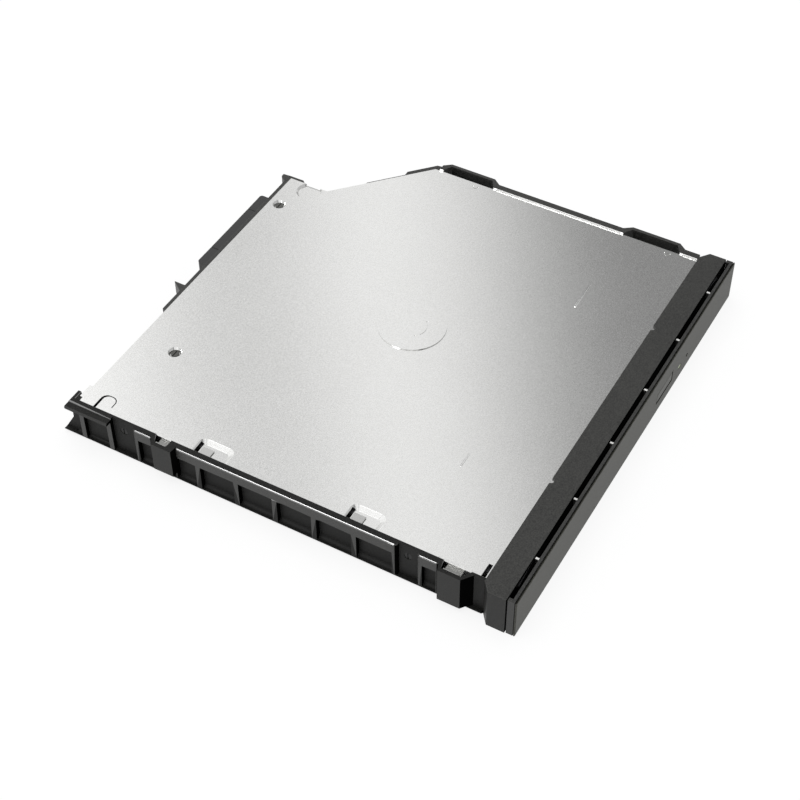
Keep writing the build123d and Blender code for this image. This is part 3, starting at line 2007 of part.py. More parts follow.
def sled_fork(body):
    """Adds the fork that rides along the high rod."""
    bore = rod_radius + running_clearance
    left = sled_mid - fork_half
    right = sled_mid + fork_half
    root = sled_high - bridge_root
    body += block(left, right, root, fork_out, sled_bottom_z, bridge_top)
    body += block(left, right, fork_in, fork_out, bridge_top, sled_top_z)
    slot = rod_high - fork_slot
    return body - block(left, right, slot, fork_out, rod_z - bore, rod_z + bore)


def pickup_sled():
    """Die-cast pickup body with its rod bushes, fork and lens well."""
    top = sled_top_z
    body = block(sled_inner, sled_outer, sled_low, sled_high, sled_bottom_z, top)
    body = sled_fork(sled_bushes(body))
    body -= post(lens_rest_radius, lens_y, well_floor_z, top, well_radius)
    body -= block(
        sled_inner + sled_pocket_start,
        sled_inner + sled_pocket_end,
        sled_pocket_low,
        sled_pocket_high,
        sled_pocket_z,
        top,
    )
    return deck_place * body


def lens_holder():
    """Moving holder of the lens."""
    x = lens_rest_radius
    holder = post(x, lens_y, holder_low_z, holder_step_z, holder_radius)
    rim = lens_radius + holder_lip
    holder += post(x, lens_y, holder_step_z, holder_top_z, rim)
    holder -= post(x, lens_y, holder_low_z, holder_top_z, lens_radius)
    return deck_place * holder


def objective_lens():
    """Lens that focuses the beam on the disc."""
    x = lens_rest_radius
    lens = post(x, lens_y, lens_low_z, lens_edge_z, lens_radius)
    dome = Pos(x, lens_y, lens_edge_z - lens_dome_drop) * Sphere(lens_dome_radius)
    crown = dome & post(x, lens_y, lens_edge_z, lens_crown_z, lens_dome_radius)
    return deck_place * (lens + crown)


def lead_nut():
    """Follower on the pickup that rides along the lead screw."""
    left = sled_mid - nut_half
    right = sled_mid + nut_half
    rear = lead_screw_y + nut_reach
    nut = block(left, right, sled_high, rear, nut_low_z, nut_high_z)
    hole = lead_screw_radius + running_clearance
    return deck_place * (nut - bar_along_x(left, right, lead_screw_y, lead_screw_z, hole))


def lead_screw():
    """Screw that drives the pickup, with a thinner journal at its end."""
    y = lead_screw_y
    z = lead_screw_z
    start = motor_outer + journal_start
    core = bar_along_x(start, screw_end, y, z, lead_screw_radius)
    end = travel_end + bracket_thickness
    core += bar_along_x(screw_end, end, y, z, journal_radius)
    core += bar_along_x(motor_outer - journal_reach, start, y, z, journal_radius)
    return deck_place * core


def stepper_motor():
    """Flat-sided stepper motor that turns the lead screw."""
    y = lead_screw_y
    z = lead_screw_z
    can = bar_along_x(motor_inner, motor_outer, y, z, motor_radius)
    low = y - motor_half
    high = y + motor_half
    body = can & block(motor_inner, motor_outer, low, high, deck_top_z, motor_top_z)
    start = motor_outer - motor_bore_depth
    body -= bar_along_x(start, motor_outer, y, z, motor_bore_radius)
    return deck_place * body


def screw_bracket():
    """Bracket with the lead screw's end bearing."""
    y = lead_screw_y
    z = lead_screw_z
    start = travel_end
    end = start + bracket_thickness
    low = y - bracket_half
    high = y + bracket_half
    foot_end = end + bracket_foot
    foot_top = deck_top_z + bracket_sheet
    bracket = block(start, end, low, high, deck_top_z, screw_bracket_top_z)
    bracket += block(end, foot_end, low, high, deck_top_z, foot_top)
    bracket -= bar_along_x(start, end, y, z, bracket_bore_radius)
    return deck_place * bracket


def traverse_window():
    """Thin steel sheet around the hub and the pickup, seen in the recess."""
    low = tray_floor_z - window_sheet
    sheet = block(
        window_inner + window_gap,
        window_outer - window_gap,
        window_low + window_gap,
        window_high - window_gap,
        low,
        tray_floor_z,
    )
    sheet -= post(0, 0, low, tray_floor_z, turntable_radius + window_hub_gap)
    sheet -= block(
        window_start, travel_end, window_low_side, window_high_side, low, tray_floor_z
    )
    return deck_place * sheet


# One file for each piece

pieces = (
    carrier_front_bar,
    carrier_left_rail,
    carrier_right_rail,
    rear_bracket,
    adapter_board,
    bay_connector,
    bay_contacts,
    carrier_screws,
    bottom_case,
    top_cover,
    cover_screws,
    main_board,
    board_film,
    board_chips,
    drive_connector,
    board_flex_socket,
    tray_flex,
    left_slide_guide,
    right_slide_guide,
    latch_post,
    tray,
    tray_underside,
    underside_screws,
    bezel_frame,
    bezel_face,
    status_light,
    button_board,
    eject_switch,
    tray_board,
    tray_flex_socket,
    traverse_deck,
    traverse_window,
    deck_dampers,
    deck_screws,
    spindle_stator,
    guide_rods,
    rod_clips,
    stepper_motor,
    screw_bracket,
    latch_solenoid,
    latch_clip,
    eject_button,
    turntable,
    turntable_pad,
    disc_claw_1,
    disc_claw_2,
    disc_claw_3,
    pickup_sled,
    lead_nut,
    lens_holder,
    objective_lens,
    lead_screw,
    left_slide_rail,
    right_slide_rail,
    latch_lever,
)

os.makedirs("parts", exist_ok=True)
for piece in pieces:
    export_step(piece(), "parts/" + piece.__name__ + ".step")
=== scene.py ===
# %% [markdown]
# # A slim disc drive in its bay carrier
#
# The drive is a flat silver box in a dark moulded frame. Most of what a viewer
# sees is one sheet of satin steel and one band of grained plastic, so the lesson
# is mostly about surfaces: how a plain material gets the fine irregularities that
# make it look made and not drawn.
#
# The solids come from a CAD model that never moves here. This script dresses
# them, adds the small things that are too fine for the CAD model, and lights them.

# %% Load the frame
import json
import math

import bmesh
import bpy
from mathutils import Matrix, Vector


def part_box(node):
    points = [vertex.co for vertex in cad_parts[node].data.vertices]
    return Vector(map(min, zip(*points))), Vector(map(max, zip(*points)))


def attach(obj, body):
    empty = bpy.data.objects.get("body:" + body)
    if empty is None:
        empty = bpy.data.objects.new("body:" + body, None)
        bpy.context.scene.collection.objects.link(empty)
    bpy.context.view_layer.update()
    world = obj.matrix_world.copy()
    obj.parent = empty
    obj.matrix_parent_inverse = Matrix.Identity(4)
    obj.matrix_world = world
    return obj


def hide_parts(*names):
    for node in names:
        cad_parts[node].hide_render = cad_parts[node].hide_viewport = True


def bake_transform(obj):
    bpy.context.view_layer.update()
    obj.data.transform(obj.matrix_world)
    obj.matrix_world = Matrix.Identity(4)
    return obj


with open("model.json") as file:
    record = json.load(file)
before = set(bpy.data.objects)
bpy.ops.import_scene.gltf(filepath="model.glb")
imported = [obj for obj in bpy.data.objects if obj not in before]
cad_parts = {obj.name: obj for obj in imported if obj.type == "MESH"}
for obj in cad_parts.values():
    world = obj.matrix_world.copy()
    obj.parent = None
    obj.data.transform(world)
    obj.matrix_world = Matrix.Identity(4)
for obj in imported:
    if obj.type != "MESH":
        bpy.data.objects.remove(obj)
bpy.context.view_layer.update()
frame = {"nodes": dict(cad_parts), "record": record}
mm = 0.001


# %% [markdown]
# ## Shared shader effects
#
# Two effects come back in all of the materials. A fine grain breaks up flat colour
# and tilts the surface a little. Soft blotches shift colour and roughness as handling
# does. They could be built again in each material, but a node group with named
# sockets is built once, and each material only brings its own sizes.

# %% Helpers that make a group and a node
def new_group(name, inputs, outputs):
    """An empty shader node group with the given sockets."""
    group = bpy.data.node_groups.new(name, "ShaderNodeTree")
    for title, kind, value in inputs:
        socket = group.interface.new_socket(title, in_out="INPUT", socket_type=kind)
        if value is not None:
            socket.default_value = value
    for title, kind in outputs:
        group.interface.new_socket(title, in_out="OUTPUT", socket_type=kind)
    start = group.nodes.new("NodeGroupInput")
    end = group.nodes.new("NodeGroupOutput")
    return group, start, end


def add(tree, kind, values=None, **settings):
    """One node with its settings and unlinked input values."""
    node = tree.nodes.new(kind)
    for key, value in settings.items():
        setattr(node, key, value)
    for key, value in (values or {}).items():
        node.inputs[key].default_value = value
    return node


FLOAT = "NodeSocketFloat"
COLOUR = "NodeSocketColor"
VECTOR = "NodeSocketVector"
print("socket kinds", FLOAT, COLOUR, VECTOR)


# %% [markdown]
# ### Grain
#
# The carrier's plastic is spark eroded and the cover is rolled sheet. Seen from a
# hand's length both show a fine, even speckle. A noise texture gives it: its scale is
# one over the size of a speck, and its contrast is turned up about the middle grey.

# %% Grain: a fine even speckle
def make_grain():
    """A speckle between 0 and 1, from a noise texture with more contrast."""
    group, start, end = new_group(
        "Grain",
        [("Vector", VECTOR, None), ("Size", FLOAT, 0.3 * mm), ("Contrast", FLOAT, 0.5)],
        [("Value", FLOAT)],
    )
    scale = add(group, "ShaderNodeMath", {0: 1.0}, operation="DIVIDE")
    noise = add(group, "ShaderNodeTexNoise", {"Detail": 3.0, "Roughness": 0.65})
    spread = add(group, "ShaderNodeMath", operation="MULTIPLY_ADD")
    offset = add(group, "ShaderNodeMath", {1: -0.5}, operation="MULTIPLY_ADD")
    links = group.links.new
    links(start.outputs["Size"], scale.inputs[1])
    links(start.outputs["Vector"], noise.inputs["Vector"])
    links(scale.outputs[0], noise.inputs["Scale"])
    links(start.outputs["Contrast"], offset.inputs[0])
    offset.inputs[2].default_value = 0.5
    links(noise.outputs["Fac"], spread.inputs[0])
    links(start.outputs["Contrast"], spread.inputs[1])
    links(offset.outputs[0], spread.inputs[2])
    links(spread.outputs[0], end.inputs["Value"])
    return group


grain_group = make_grain()
print("group", grain_group.name, "with", len(grain_group.nodes), "nodes")


# %% [markdown]
# ### Blotches
#
# No sheet or moulding is equally clean all over. A second noise, some thirty times
# larger, makes slow patches. Only its middle range is used, so that both ends of the
# patch are reached.

# %% Blotches: large soft patches
def make_blotches():
    """Slow patches between two levels."""
    group, start, end = new_group(
        "Blotches",
        [("Vector", VECTOR, None), ("Size", FLOAT, 20 * mm), ("Low", FLOAT, 0.0),
         ("High", FLOAT, 1.0)],
        [("Value", FLOAT)],
    )
    scale = add(group, "ShaderNodeMath", {0: 1.0}, operation="DIVIDE")
    noise = add(group, "ShaderNodeTexNoise", {"Detail": 2.0, "Roughness": 0.5})
    fit = add(group, "ShaderNodeMapRange", {"From Min": 0.3, "From Max": 0.7})
    links = group.links.new
    links(start.outputs["Size"], scale.inputs[1])
    links(start.outputs["Vector"], noise.inputs["Vector"])
    links(scale.outputs[0], noise.inputs["Scale"])
    links(noise.outputs["Fac"], fit.inputs["Value"])
    links(start.outputs["Low"], fit.inputs["To Min"])
    links(start.outputs["High"], fit.inputs["To Max"])
    links(fit.outputs["Result"], end.inputs["Value"])
    return group


blotch_group = make_blotches()
print("shader groups", [g.name for g in bpy.data.node_groups])


# %% [markdown]
# ## Materials
#
# A surface is described by two colours, a roughness range and a grain. The function
# below turns that description into nodes. Colour wanders between the two shades with
# the blotches and the grain, and the grain also becomes a small bump. What is the same
# all over a surface, such as its metallic value, is written on the shader itself.

# %% Grain and blotches, placed in a material
def group_node(tree, group, values):
    """One of the shared groups, placed in a material."""
    node = add(tree, "ShaderNodeGroup")
    node.node_tree = group
    for key, value in values.items():
        node.inputs[key].default_value = value
    return node


def mottled(tree, grain_size, contrast, blotch, grain_mix, stretch):
    """Both effects on the piece's own coordinates, and one value mixed of them."""
    links = tree.links.new
    place = add(tree, "ShaderNodeTexCoord")
    mapping = add(tree, "ShaderNodeMapping", {"Scale": stretch})
    links(place.outputs["Object"], mapping.inputs["Vector"])
    grain = group_node(tree, grain_group, {"Size": grain_size * mm, "Contrast": contrast})
    blotches = group_node(tree, blotch_group, {"Size": blotch * mm})
    links(mapping.outputs[0], grain.inputs["Vector"])
    links(place.outputs["Object"], blotches.inputs["Vector"])
    share = add(tree, "ShaderNodeMix", {"Factor": grain_mix})
    links(blotches.outputs[0], share.inputs[2])
    links(grain.outputs[0], share.inputs[3])
    return grain, share


print("a grain of 1 mm has a scale of", round(1 / mm))


# %% One function for all moulded, plated and painted surfaces
def rgba(colour):
    """A colour with full opacity."""
    return (*colour, 1.0)


def surface(
    name,
    dark,
    light,
    rough=(0.4, 0.55),
    metallic=0.0,
    grain_size=0.35,
    grain_mix=0.35,
    contrast=1.0,
    bump=0.02,
    stretch=(1, 1, 1),
    blotch=22.0,
    **sockets,
):
    """A procedural material. Lengths are in millimetres."""
    material = bpy.data.materials.new(name)
    material.use_nodes = True
    tree = material.node_tree
    shader = tree.nodes["Principled BSDF"]
    shader.inputs["Metallic"].default_value = metallic
    for key, value in sockets.items():
        socket = key.replace("_", " ").title().replace("Ior", "IOR")
        shader.inputs[socket].default_value = value
    links = tree.links.new
    grain, share = mottled(tree, grain_size, contrast, blotch, grain_mix, stretch)
    colour = add(
        tree, "ShaderNodeMix", {6: rgba(dark), 7: rgba(light)}, data_type="RGBA"
    )
    links(share.outputs[0], colour.inputs["Factor"])
    links(colour.outputs[2], shader.inputs["Base Color"])
    roughness = add(
        tree, "ShaderNodeMapRange", {"To Min": rough[0], "To Max": rough[1]}
    )
    links(share.outputs[0], roughness.inputs["Value"])
    links(roughness.outputs["Result"], shader.inputs["Roughness"])
    if bump:
        height = add(
            tree, "ShaderNodeBump", {"Strength": 0.5, "Distance": bump * mm}
        )
        links(grain.outputs[0], height.inputs["Height"])
        links(height.outputs[0], shader.inputs["Normal"])
    return material


# %% [markdown]
# ### Steel sheet
#
# The cover is plain steel with a satin finish: almost a mirror, but blurred, with a
# fine bright speckle. Its cut edges get a brighter steel, partly for fresh metal and
# partly as a painted highlight along each edge; the same steel paints a reflection of
# the cover's edge on the right rail. The tub below is duller. All of them are fully
# metallic, so their colour is the colour of their reflection, and a small difference in
# roughness between dark and light specks is enough to make them sparkle.

# %% The steels of the cover, the tub and the sheets inside
cover_steel = surface(
    "Cover steel", (0.56, 0.56, 0.55), (0.87, 0.87, 0.86), (0.12, 0.19), 1.0,
    grain_size=0.30, grain_mix=0.94, contrast=1.6, bump=0.0004, blotch=30,
)
# Bright steel, partly fresh metal and partly a painted highlight; also the right rail's
# painted reflection.
cut_edge_highlight_steel = surface(
    "Cut edge and painted highlight", (0.90, 0.90, 0.89), (0.96, 0.96, 0.95), (0.24, 0.34), 1.0,
    grain_size=0.2, bump=0.001,
)
ear_steel = surface(
    "Dull steel", (0.26, 0.26, 0.25), (0.36, 0.36, 0.35), (0.34, 0.46), 1.0,
    grain_size=0.25, grain_mix=0.8, bump=0.003,
)
case_steel = surface(
    "Tub steel", (0.50, 0.50, 0.49), (0.62, 0.62, 0.61), (0.34, 0.48), 1.0,
    grain_size=0.5, bump=0.005,
)
sheet_steel = surface(
    "Bright sheet", (0.52, 0.52, 0.51), (0.66, 0.66, 0.65), (0.25, 0.38), 1.0,
    grain_size=0.5, stretch=(1, 0.1, 1), bump=0.003,
)
print("sheet finishes", len(bpy.data.materials))


# %% Screws, rods and castings
screw_steel = surface(
    "Nickel screw", (0.38, 0.37, 0.35), (0.52, 0.51, 0.49), (0.22, 0.36), 1.0,
    grain_size=0.2, bump=0.003,
)
dark_screw = surface(
    "Dark screw", (0.06, 0.06, 0.058), (0.16, 0.16, 0.15), (0.26, 0.38), 1.0,
    grain_size=0.3, bump=0.002,
)
rod_steel = surface(
    "Ground rod", (0.58, 0.58, 0.58), (0.70, 0.70, 0.70), (0.10, 0.18), 1.0,
    grain_size=0.2, bump=0.001,
)
cast_zinc = surface(
    "Cast metal", (0.34, 0.34, 0.35), (0.48, 0.48, 0.49), (0.42, 0.58), 1.0,
    grain_size=0.5, bump=0.02,
)
print("with screws, rods and castings", len(bpy.data.materials))


# %% [markdown]
# ### Dark plastic
#
# The carrier and the bezel are black, yet no two faces of them look alike. The top of
# the bar is grained and greyish, and the chamfers shine. The ends, the jogs and the
# pockets between the ribs get darker copies of the plastic as painted shade, the gaps
# where no light falls get a painted black with no specular at all, and the tips of the
# small ribs in the gap get a pale painted highlight. Each of these gets its own material
# with the same grain. Black plastic gets its grey from what it reflects, so the
# specular level matters more here than the colour.

# %% The plastics of the carrier and the bezel
dark_sheet = surface(
    "Black sheet", (0.018, 0.018, 0.019), (0.030, 0.030, 0.031), (0.38, 0.5),
    grain_size=0.25, bump=0.004,
)
carrier_plastic = surface(
    "Carrier plastic", (0.004, 0.004, 0.0038), (0.036, 0.036, 0.033), (0.36, 0.52),
    grain_size=0.34, grain_mix=0.9, contrast=3.0, bump=0.012,
)
# Painted shade: a darker copy of the carrier plastic for faces that look away from the
# light.
side_shade_plastic = surface(
    "Carrier side painted shade", (0.002, 0.002, 0.002), (0.022, 0.022, 0.020), (0.44, 0.58),
    grain_size=0.34, grain_mix=0.9, contrast=3.0, bump=0.012,
    specular_ior_level=0.3,
)
edge_plastic = surface(
    "Carrier edge", (0.020, 0.020, 0.019), (0.034, 0.034, 0.032), (0.20, 0.28),
    grain_size=0.24, bump=0.0, specular_ior_level=1.0, ior=1.9,
)
# Painted shade: a darker, duller copy for the pockets, their ledges and the top recess.
recess_shade_plastic = surface(
    "Carrier recess painted shade", (0.002, 0.002, 0.002), (0.018, 0.018, 0.017), (0.55, 0.70),
    grain_size=0.34, grain_mix=0.9, contrast=3.0, bump=0.012,
    specular_ior_level=0.2,
)
black_screw = surface(
    "Blackened screw", (0.003, 0.003, 0.003), (0.010, 0.010, 0.010), (0.35, 0.48),
    grain_size=0.3, bump=0.004, specular_ior_level=0.25,
)
# Painted shade: near black with no specular, for gaps and faces that no light reaches.
gap_shade_black = surface(
    "Unlit gap", (0.001, 0.001, 0.001), (0.003, 0.003, 0.003), (0.70, 0.85),
    grain_size=0.34, bump=0.01, specular_ior_level=0.0,
)
# Painted highlight: a pale colour on the tops of the small ribs in the gap.
rib_tip_highlight = surface(
    "Rib tip painted highlight", (0.50, 0.50, 0.49), (0.70, 0.70, 0.68), (0.20, 0.30),
    grain_size=0.3, bump=0.002,
)
bezel_plastic = surface(
    "Bezel plastic", (0.004, 0.004, 0.0038), (0.034, 0.034, 0.032), (0.40, 0.55),
    grain_size=0.34, grain_mix=0.9, contrast=3.0, bump=0.012,
)
face_plastic = surface(
    "Bezel face", (0.012, 0.012, 0.008), (0.050, 0.051, 0.041), (0.40, 0.52),
    grain_size=0.34, grain_mix=0.9, contrast=3.0, bump=0.006,
    specular_ior_level=0.25,
)
button_plastic = surface(
    "Button", (0.012, 0.012, 0.008), (0.050, 0.051, 0.041), (0.36, 0.46),
    grain_size=0.34, grain_mix=0.9, contrast=3.0, bump=0.004,
    specular_ior_level=0.25,
)
print("with the carrier and the bezel", len(bpy.data.materials))


# %% [markdown]
# ### What is inside
#
# The tray shows most of the other finishes once it is out: black plastic, natural
# acetal for what has to slide, rubber dampers, green lacquered boards, gilded
# contacts, copper wire and the orange film of the flat cable. A finish that runs one
# way, such as a winding or a cable, gets its grain stretched along that way.

# %% Plastics and rubber of the tray and the mechanism
tray_plastic = surface(
    "Tray plastic", (0.010, 0.010, 0.0105), (0.034, 0.034, 0.036), (0.42, 0.56),
    grain_size=0.34, grain_mix=0.85, contrast=2.5, bump=0.012,
)
pale_plastic = surface(
    "Acetal", (0.52, 0.51, 0.47), (0.62, 0.61, 0.57), (0.34, 0.46),
    grain_size=0.6, bump=0.004,
)
black_plastic = surface(
    "Connector plastic", (0.012, 0.012, 0.012), (0.022, 0.022, 0.022), (0.34, 0.46),
    grain_size=0.3, bump=0.006,
)
rubber = surface(
    "Rubber", (0.014, 0.014, 0.014), (0.024, 0.024, 0.024), (0.66, 0.82),
    grain_size=0.4, bump=0.01,
)
print("with the tray's plastics", len(bpy.data.materials))


# %% Boards, contacts, cable and lens
board_green = surface(
    "Board lacquer", (0.010, 0.070, 0.032), (0.016, 0.105, 0.048), (0.22, 0.34),
    grain_size=1.2, bump=0.003,
)
film_black = surface(
    "Insulating film", (0.012, 0.012, 0.012), (0.02, 0.02, 0.02), (0.3, 0.42),
    grain_size=0.8, bump=0.002,
)
chip_black = surface(
    "Chip", (0.012, 0.012, 0.013), (0.020, 0.020, 0.022), (0.42, 0.56),
    grain_size=0.15, bump=0.006,
)
gold = surface(
    "Gold contact", (0.78, 0.55, 0.20), (0.88, 0.66, 0.28), (0.2, 0.3), 1.0,
    grain_size=0.2, bump=0.001,
)
copper = surface(
    "Wound copper", (0.42, 0.16, 0.05), (0.60, 0.26, 0.10), (0.3, 0.42), 1.0,
    grain_size=0.15, stretch=(1, 1, 6), bump=0.03,
)
flex_film = surface(
    "Flat cable", (0.46, 0.22, 0.03), (0.60, 0.32, 0.06), (0.24, 0.36),
    grain_size=1.0, stretch=(1, 0.02, 1), bump=0.004,
)
light_pipe = surface(
    "Light pipe", (0.42, 0.50, 0.30), (0.50, 0.58, 0.38), (0.15, 0.22),
    grain_size=0.5, bump=0.0,
)
lens_glass = surface(
    "Lens glass", (0.10, 0.16, 0.36), (0.16, 0.26, 0.50), (0.03, 0.06),
    grain_size=1.5, bump=0.0, coat_weight=1.0,
)
print("materials", len(bpy.data.materials))


# %% [markdown]
# ## Dressing the CAD pieces
#
# Every solid of the CAD model is a node with a name. A table says which finish each
# of them has on the real drive. The table could be spread over the materials, but in
# one place it is easy to see that no piece was forgotten.

# %% Which finish each node gets
finishes = {
    "carrier_front_bar": carrier_plastic,
    "carrier_left_rail": carrier_plastic,
    "carrier_right_rail": carrier_plastic,
    "rear_bracket": carrier_plastic,
    "adapter_board": board_green,
    "bay_connector": black_plastic,
    "bay_contacts": gold,
    "carrier_screws": black_screw,
    "bottom_case": case_steel,
    "top_cover": cover_steel,
    "cover_screws": dark_screw,
    "main_board": board_green,
    "board_film": film_black,
    "board_chips": chip_black,
    "drive_connector": black_plastic,
    "board_flex_socket": pale_plastic,
    "tray_flex": flex_film,
    "left_slide_guide": pale_plastic,
    "right_slide_guide": pale_plastic,
    "latch_post": screw_steel,
    "tray": tray_plastic,
    "tray_underside": sheet_steel,
    "underside_screws": screw_steel,
    "bezel_frame": bezel_plastic,
    "bezel_face": face_plastic,
    "status_light": light_pipe,
    "button_board": board_green,
    "eject_switch": black_plastic,
    "tray_board": board_green,
    "tray_flex_socket": pale_plastic,
    "traverse_deck": case_steel,
    "traverse_window": dark_sheet,
    "deck_dampers": rubber,
    "deck_screws": screw_steel,
    "spindle_stator": copper,
    "guide_rods": rod_steel,
    "rod_clips": pale_plastic,
    "stepper_motor": sheet_steel,
    "screw_bracket": sheet_steel,
    "latch_solenoid": copper,
    "latch_clip": screw_steel,
    "eject_button": button_plastic,
    "turntable": black_plastic,
    "turntable_pad": rubber,
    "disc_claw_1": pale_plastic,
    "disc_claw_2": pale_plastic,
    "disc_claw_3": pale_plastic,
    "pickup_sled": cast_zinc,
    "lead_nut": pale_plastic,
    "lens_holder": black_plastic,
    "objective_lens": lens_glass,
    "lead_screw": rod_steel,
    "left_slide_rail": sheet_steel,
    "right_slide_rail": sheet_steel,
    "latch_lever": pale_plastic,
}
for name, material in finishes.items():
    node = frame["nodes"][name]
    node.data.materials.clear()
    node.data.materials.append(material)
print("dressed", len(finishes), "of", len(frame["nodes"]))


# %% [markdown]
# ### Soft edges
#
# Real moulded and pressed edges are never sharp: a line of light runs along each one.
# A Bevel modifier could round them, but the CAD mesh is loose triangles and is left
# alone. So a copy is made with bmesh: its corners are joined, flat triangles are
# merged into whole faces, and a narrow bevel is cut on the corners. Only corners
# longer than a set length are cut, because a short one between two long ones would
# fold the surface. The copy rides on the same body, takes the same slot, and stands
# for the CAD piece.

# %% A function for soft edges on a merged copy
body_of_node = {
    name: body
    for body, names in frame["record"]["behaviour"]["bodies"].items()
    for name in names
}
join_distance = 0.0008 * mm
flat_angle = math.radians(0.5)
corner_angle = math.radians(30)


def anywhere(place):
    """Every corner of the piece."""
    return True


def sharp_corners(shape, shortest, where):
    """The edges of a mesh that are long and sharp enough for a bevel."""
    return [
        edge
        for edge in shape.edges
        if edge.is_manifold
        and edge.calc_face_angle(0) > corner_angle
        and edge.calc_length() > shortest * mm
        and where((edge.verts[0].co + edge.verts[1].co) / 2 / mm)
    ]


def merged_shape(node, merge_flats):
    """The triangles of a CAD piece, joined into one surface."""
    shape = bmesh.new()
    shape.from_mesh(node.data)
    bmesh.ops.remove_doubles(shape, verts=shape.verts, dist=join_distance)
    if merge_flats:
        bmesh.ops.dissolve_limit(
            shape, angle_limit=flat_angle, use_dissolve_boundaries=False,
            verts=shape.verts, edges=shape.edges, delimit={"NORMAL"},
        )
    return shape


def softened(
    name, width, shortest, merge_flats=True, segments=2, trim=None, where=anywhere
):
    """A copy of a CAD piece with narrow soft edges, in its place."""
    shape = merged_shape(frame["nodes"][name], merge_flats)
    corners = sharp_corners(shape, shortest, where)
    if corners:
        bmesh.ops.bevel(
            shape, geom=corners, offset=width * mm, offset_type="OFFSET",
            segments=segments, profile=0.5, affect="EDGES", clamp_overlap=False,
            miter_outer="ARC", material=1 if trim else -1,
        )
    bmesh.ops.triangulate(shape, faces=shape.faces)
    mesh = bpy.data.meshes.new("soft_" + name)
    shape.to_mesh(mesh)
    shape.free()
    piece = bpy.data.objects.new("soft_" + name, mesh)
    bpy.context.scene.collection.objects.link(piece)
    mesh.materials.append(finishes[name])
    if trim:
        mesh.materials.append(trim)
    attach(piece, body_of_node[name])
    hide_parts(name)
    return piece


print("corners over", round(math.degrees(corner_angle)), "degrees are cut")


# %% [markdown]
# Each piece has its own width of edge, in millimetres, and its own shortest corner. A
# moulding has about 0.15 mm, a pressed sheet half of that. Two pieces get a second
# finish on the cut itself: the left rail has a shiny chamfer along its top, and the
# cover's cut edges get a bright steel that is partly fresh metal and partly a painted
# highlight, but not on the round bump, whose slopes are bent and not cut. The bezel's
# frame is copied without a cut, only to be painted later. Three pieces skip the merge
# of their flat triangles, since the cut finds the same corners on them without it.

# %% Soft edges, piece by piece
upper_rail_z = 9.0
hub_x = 2.2
hub_y = -0.1
bump_reach = 22.0
rail_face_x = -66.3
no_corner = 1000.0


def upper_rail(place):
    """The chamfer along the top of the left rail."""
    return place.z > upper_rail_z and place.x > rail_face_x


def off_the_bump(place):
    """The cover's cut edges, away from the round bump over the hub."""
    return math.hypot(place.x - hub_x, place.y - hub_y) > bump_reach


soft_edges = {
    "carrier_front_bar": (0.12, 3.0, False),
    "carrier_left_rail": (0.16, 2.0, True, 1, edge_plastic, upper_rail),
    "bezel_frame": (0.0, no_corner),
    "carrier_right_rail": (0.14, 1.5),
    "rear_bracket": (0.12, 1.5),
    "bay_connector": (0.08, 1.0),
    # The cover's cut edges get bright steel: fresh metal and a painted highlight.
    "top_cover": (0.08, 1.5, True, 1, cut_edge_highlight_steel, off_the_bump),
    "bottom_case": (0.05, 1.5),
    "bezel_face": (0.06, 1.5),
    "tray": (0.12, 1.5),
    "pickup_sled": (0.12, 1.5, False),
    "turntable": (0.06, 1.5),
    "eject_button": (0.06, 1.5, False),
    "traverse_deck": (0.05, 1.5),
}
soft = {name: softened(name, *how) for name, how in soft_edges.items()}
print("softened", {name: len(piece.data.polygons) for name, piece in soft.items()})


# %% [markdown]
# ### Parts of a piece with painted shade, a painted highlight or another finish
#
# One moulding can look like two materials. Most second materials here are painted
# shade: the pockets between the ribs, the gaps and the faces that look away from the
# light get darker copies of the plastic, and a few faces get a painted highlight or
# reflection. The piece could be cut up, or a mask could be painted, but a rule is
# shorter: faces are picked by where they are and which way they look, and get a second
# material slot.

# %% A function that paints by rule
def paint(piece, material, choose):
    """A second material on the faces that the rule picks."""
    piece.data.materials.append(material)
    slot = len(piece.data.materials) - 1
    picked = 0
    for face in piece.data.polygons:
        if choose(face.center / mm, face.normal):
            face.material_index = slot
            picked += 1
    return picked


a_little = 0.3
half_way = 0.5
mostly = 0.7
nearly_all = 0.9
print("a face looks a way when its normal leans there by", mostly)


# %% [markdown]
# The left rail faces the camera and has three painted shades of its own: dark pockets
# with their ledges, black sides of the ribs, and jog faces that are a little darker
# than the band beside them. The end of the front bar is painted darker like the jogs,
# and its front black. The inner wall of the right rail gets a painted reflection of
# the cover's edge in bright steel. All of the places below are in millimetres in the
# drive's own frame.

# %% Rules for the rail and the bar
pocket_x = -65.5
lower_band_z = 4.6
ledge_height = 0.5
rail_foot_y = 60.0
rail_top_z = 11.5
bar_end_x = -64.5
bar_gap_y = -63.8
strip_x = 64.3


def in_pocket_shade(place, normal):
    """The back of a pocket, the ledge below it and the recess on top, painted as shade.
    """
    back = normal.x < -mostly and (place.x > pocket_x or place.z < lower_band_z)
    ledge = normal.z > mostly and place.z < lower_band_z + ledge_height
    top = normal.z > nearly_all and place.z > rail_top_z
    return back or ledge or top


def is_shaded_rib_side(place, normal):
    """The side of a rib that looks to the front, painted black as shade."""
    forward = normal.y < -a_little and abs(normal.z) < half_way
    return forward and place.y < rail_foot_y


def is_shaded_jog_face(place, normal):
    """The outer face of a jog, further out than the rail's own face, painted darker as
    shade.
    """
    return place.x < rail_face_x and normal.x < -mostly


def is_shaded_bar_end(place, normal):
    """The left end of the front bar, painted darker as shade."""
    return place.x < bar_end_x and normal.x < -half_way


def is_shaded_bar_front(place, normal):
    """The front of the bar, which looks into the gap behind the bezel, painted black as
    shade.
    """
    return normal.y < -mostly and place.y < bar_gap_y


def is_painted_reflection_strip(place, normal):
    """The inner wall of the right rail, painted bright as a reflection of the cover's
    edge.
    """
    return normal.x < -half_way and place.x < strip_x


print("rail face at", rail_face_x, "pockets behind", pocket_x)


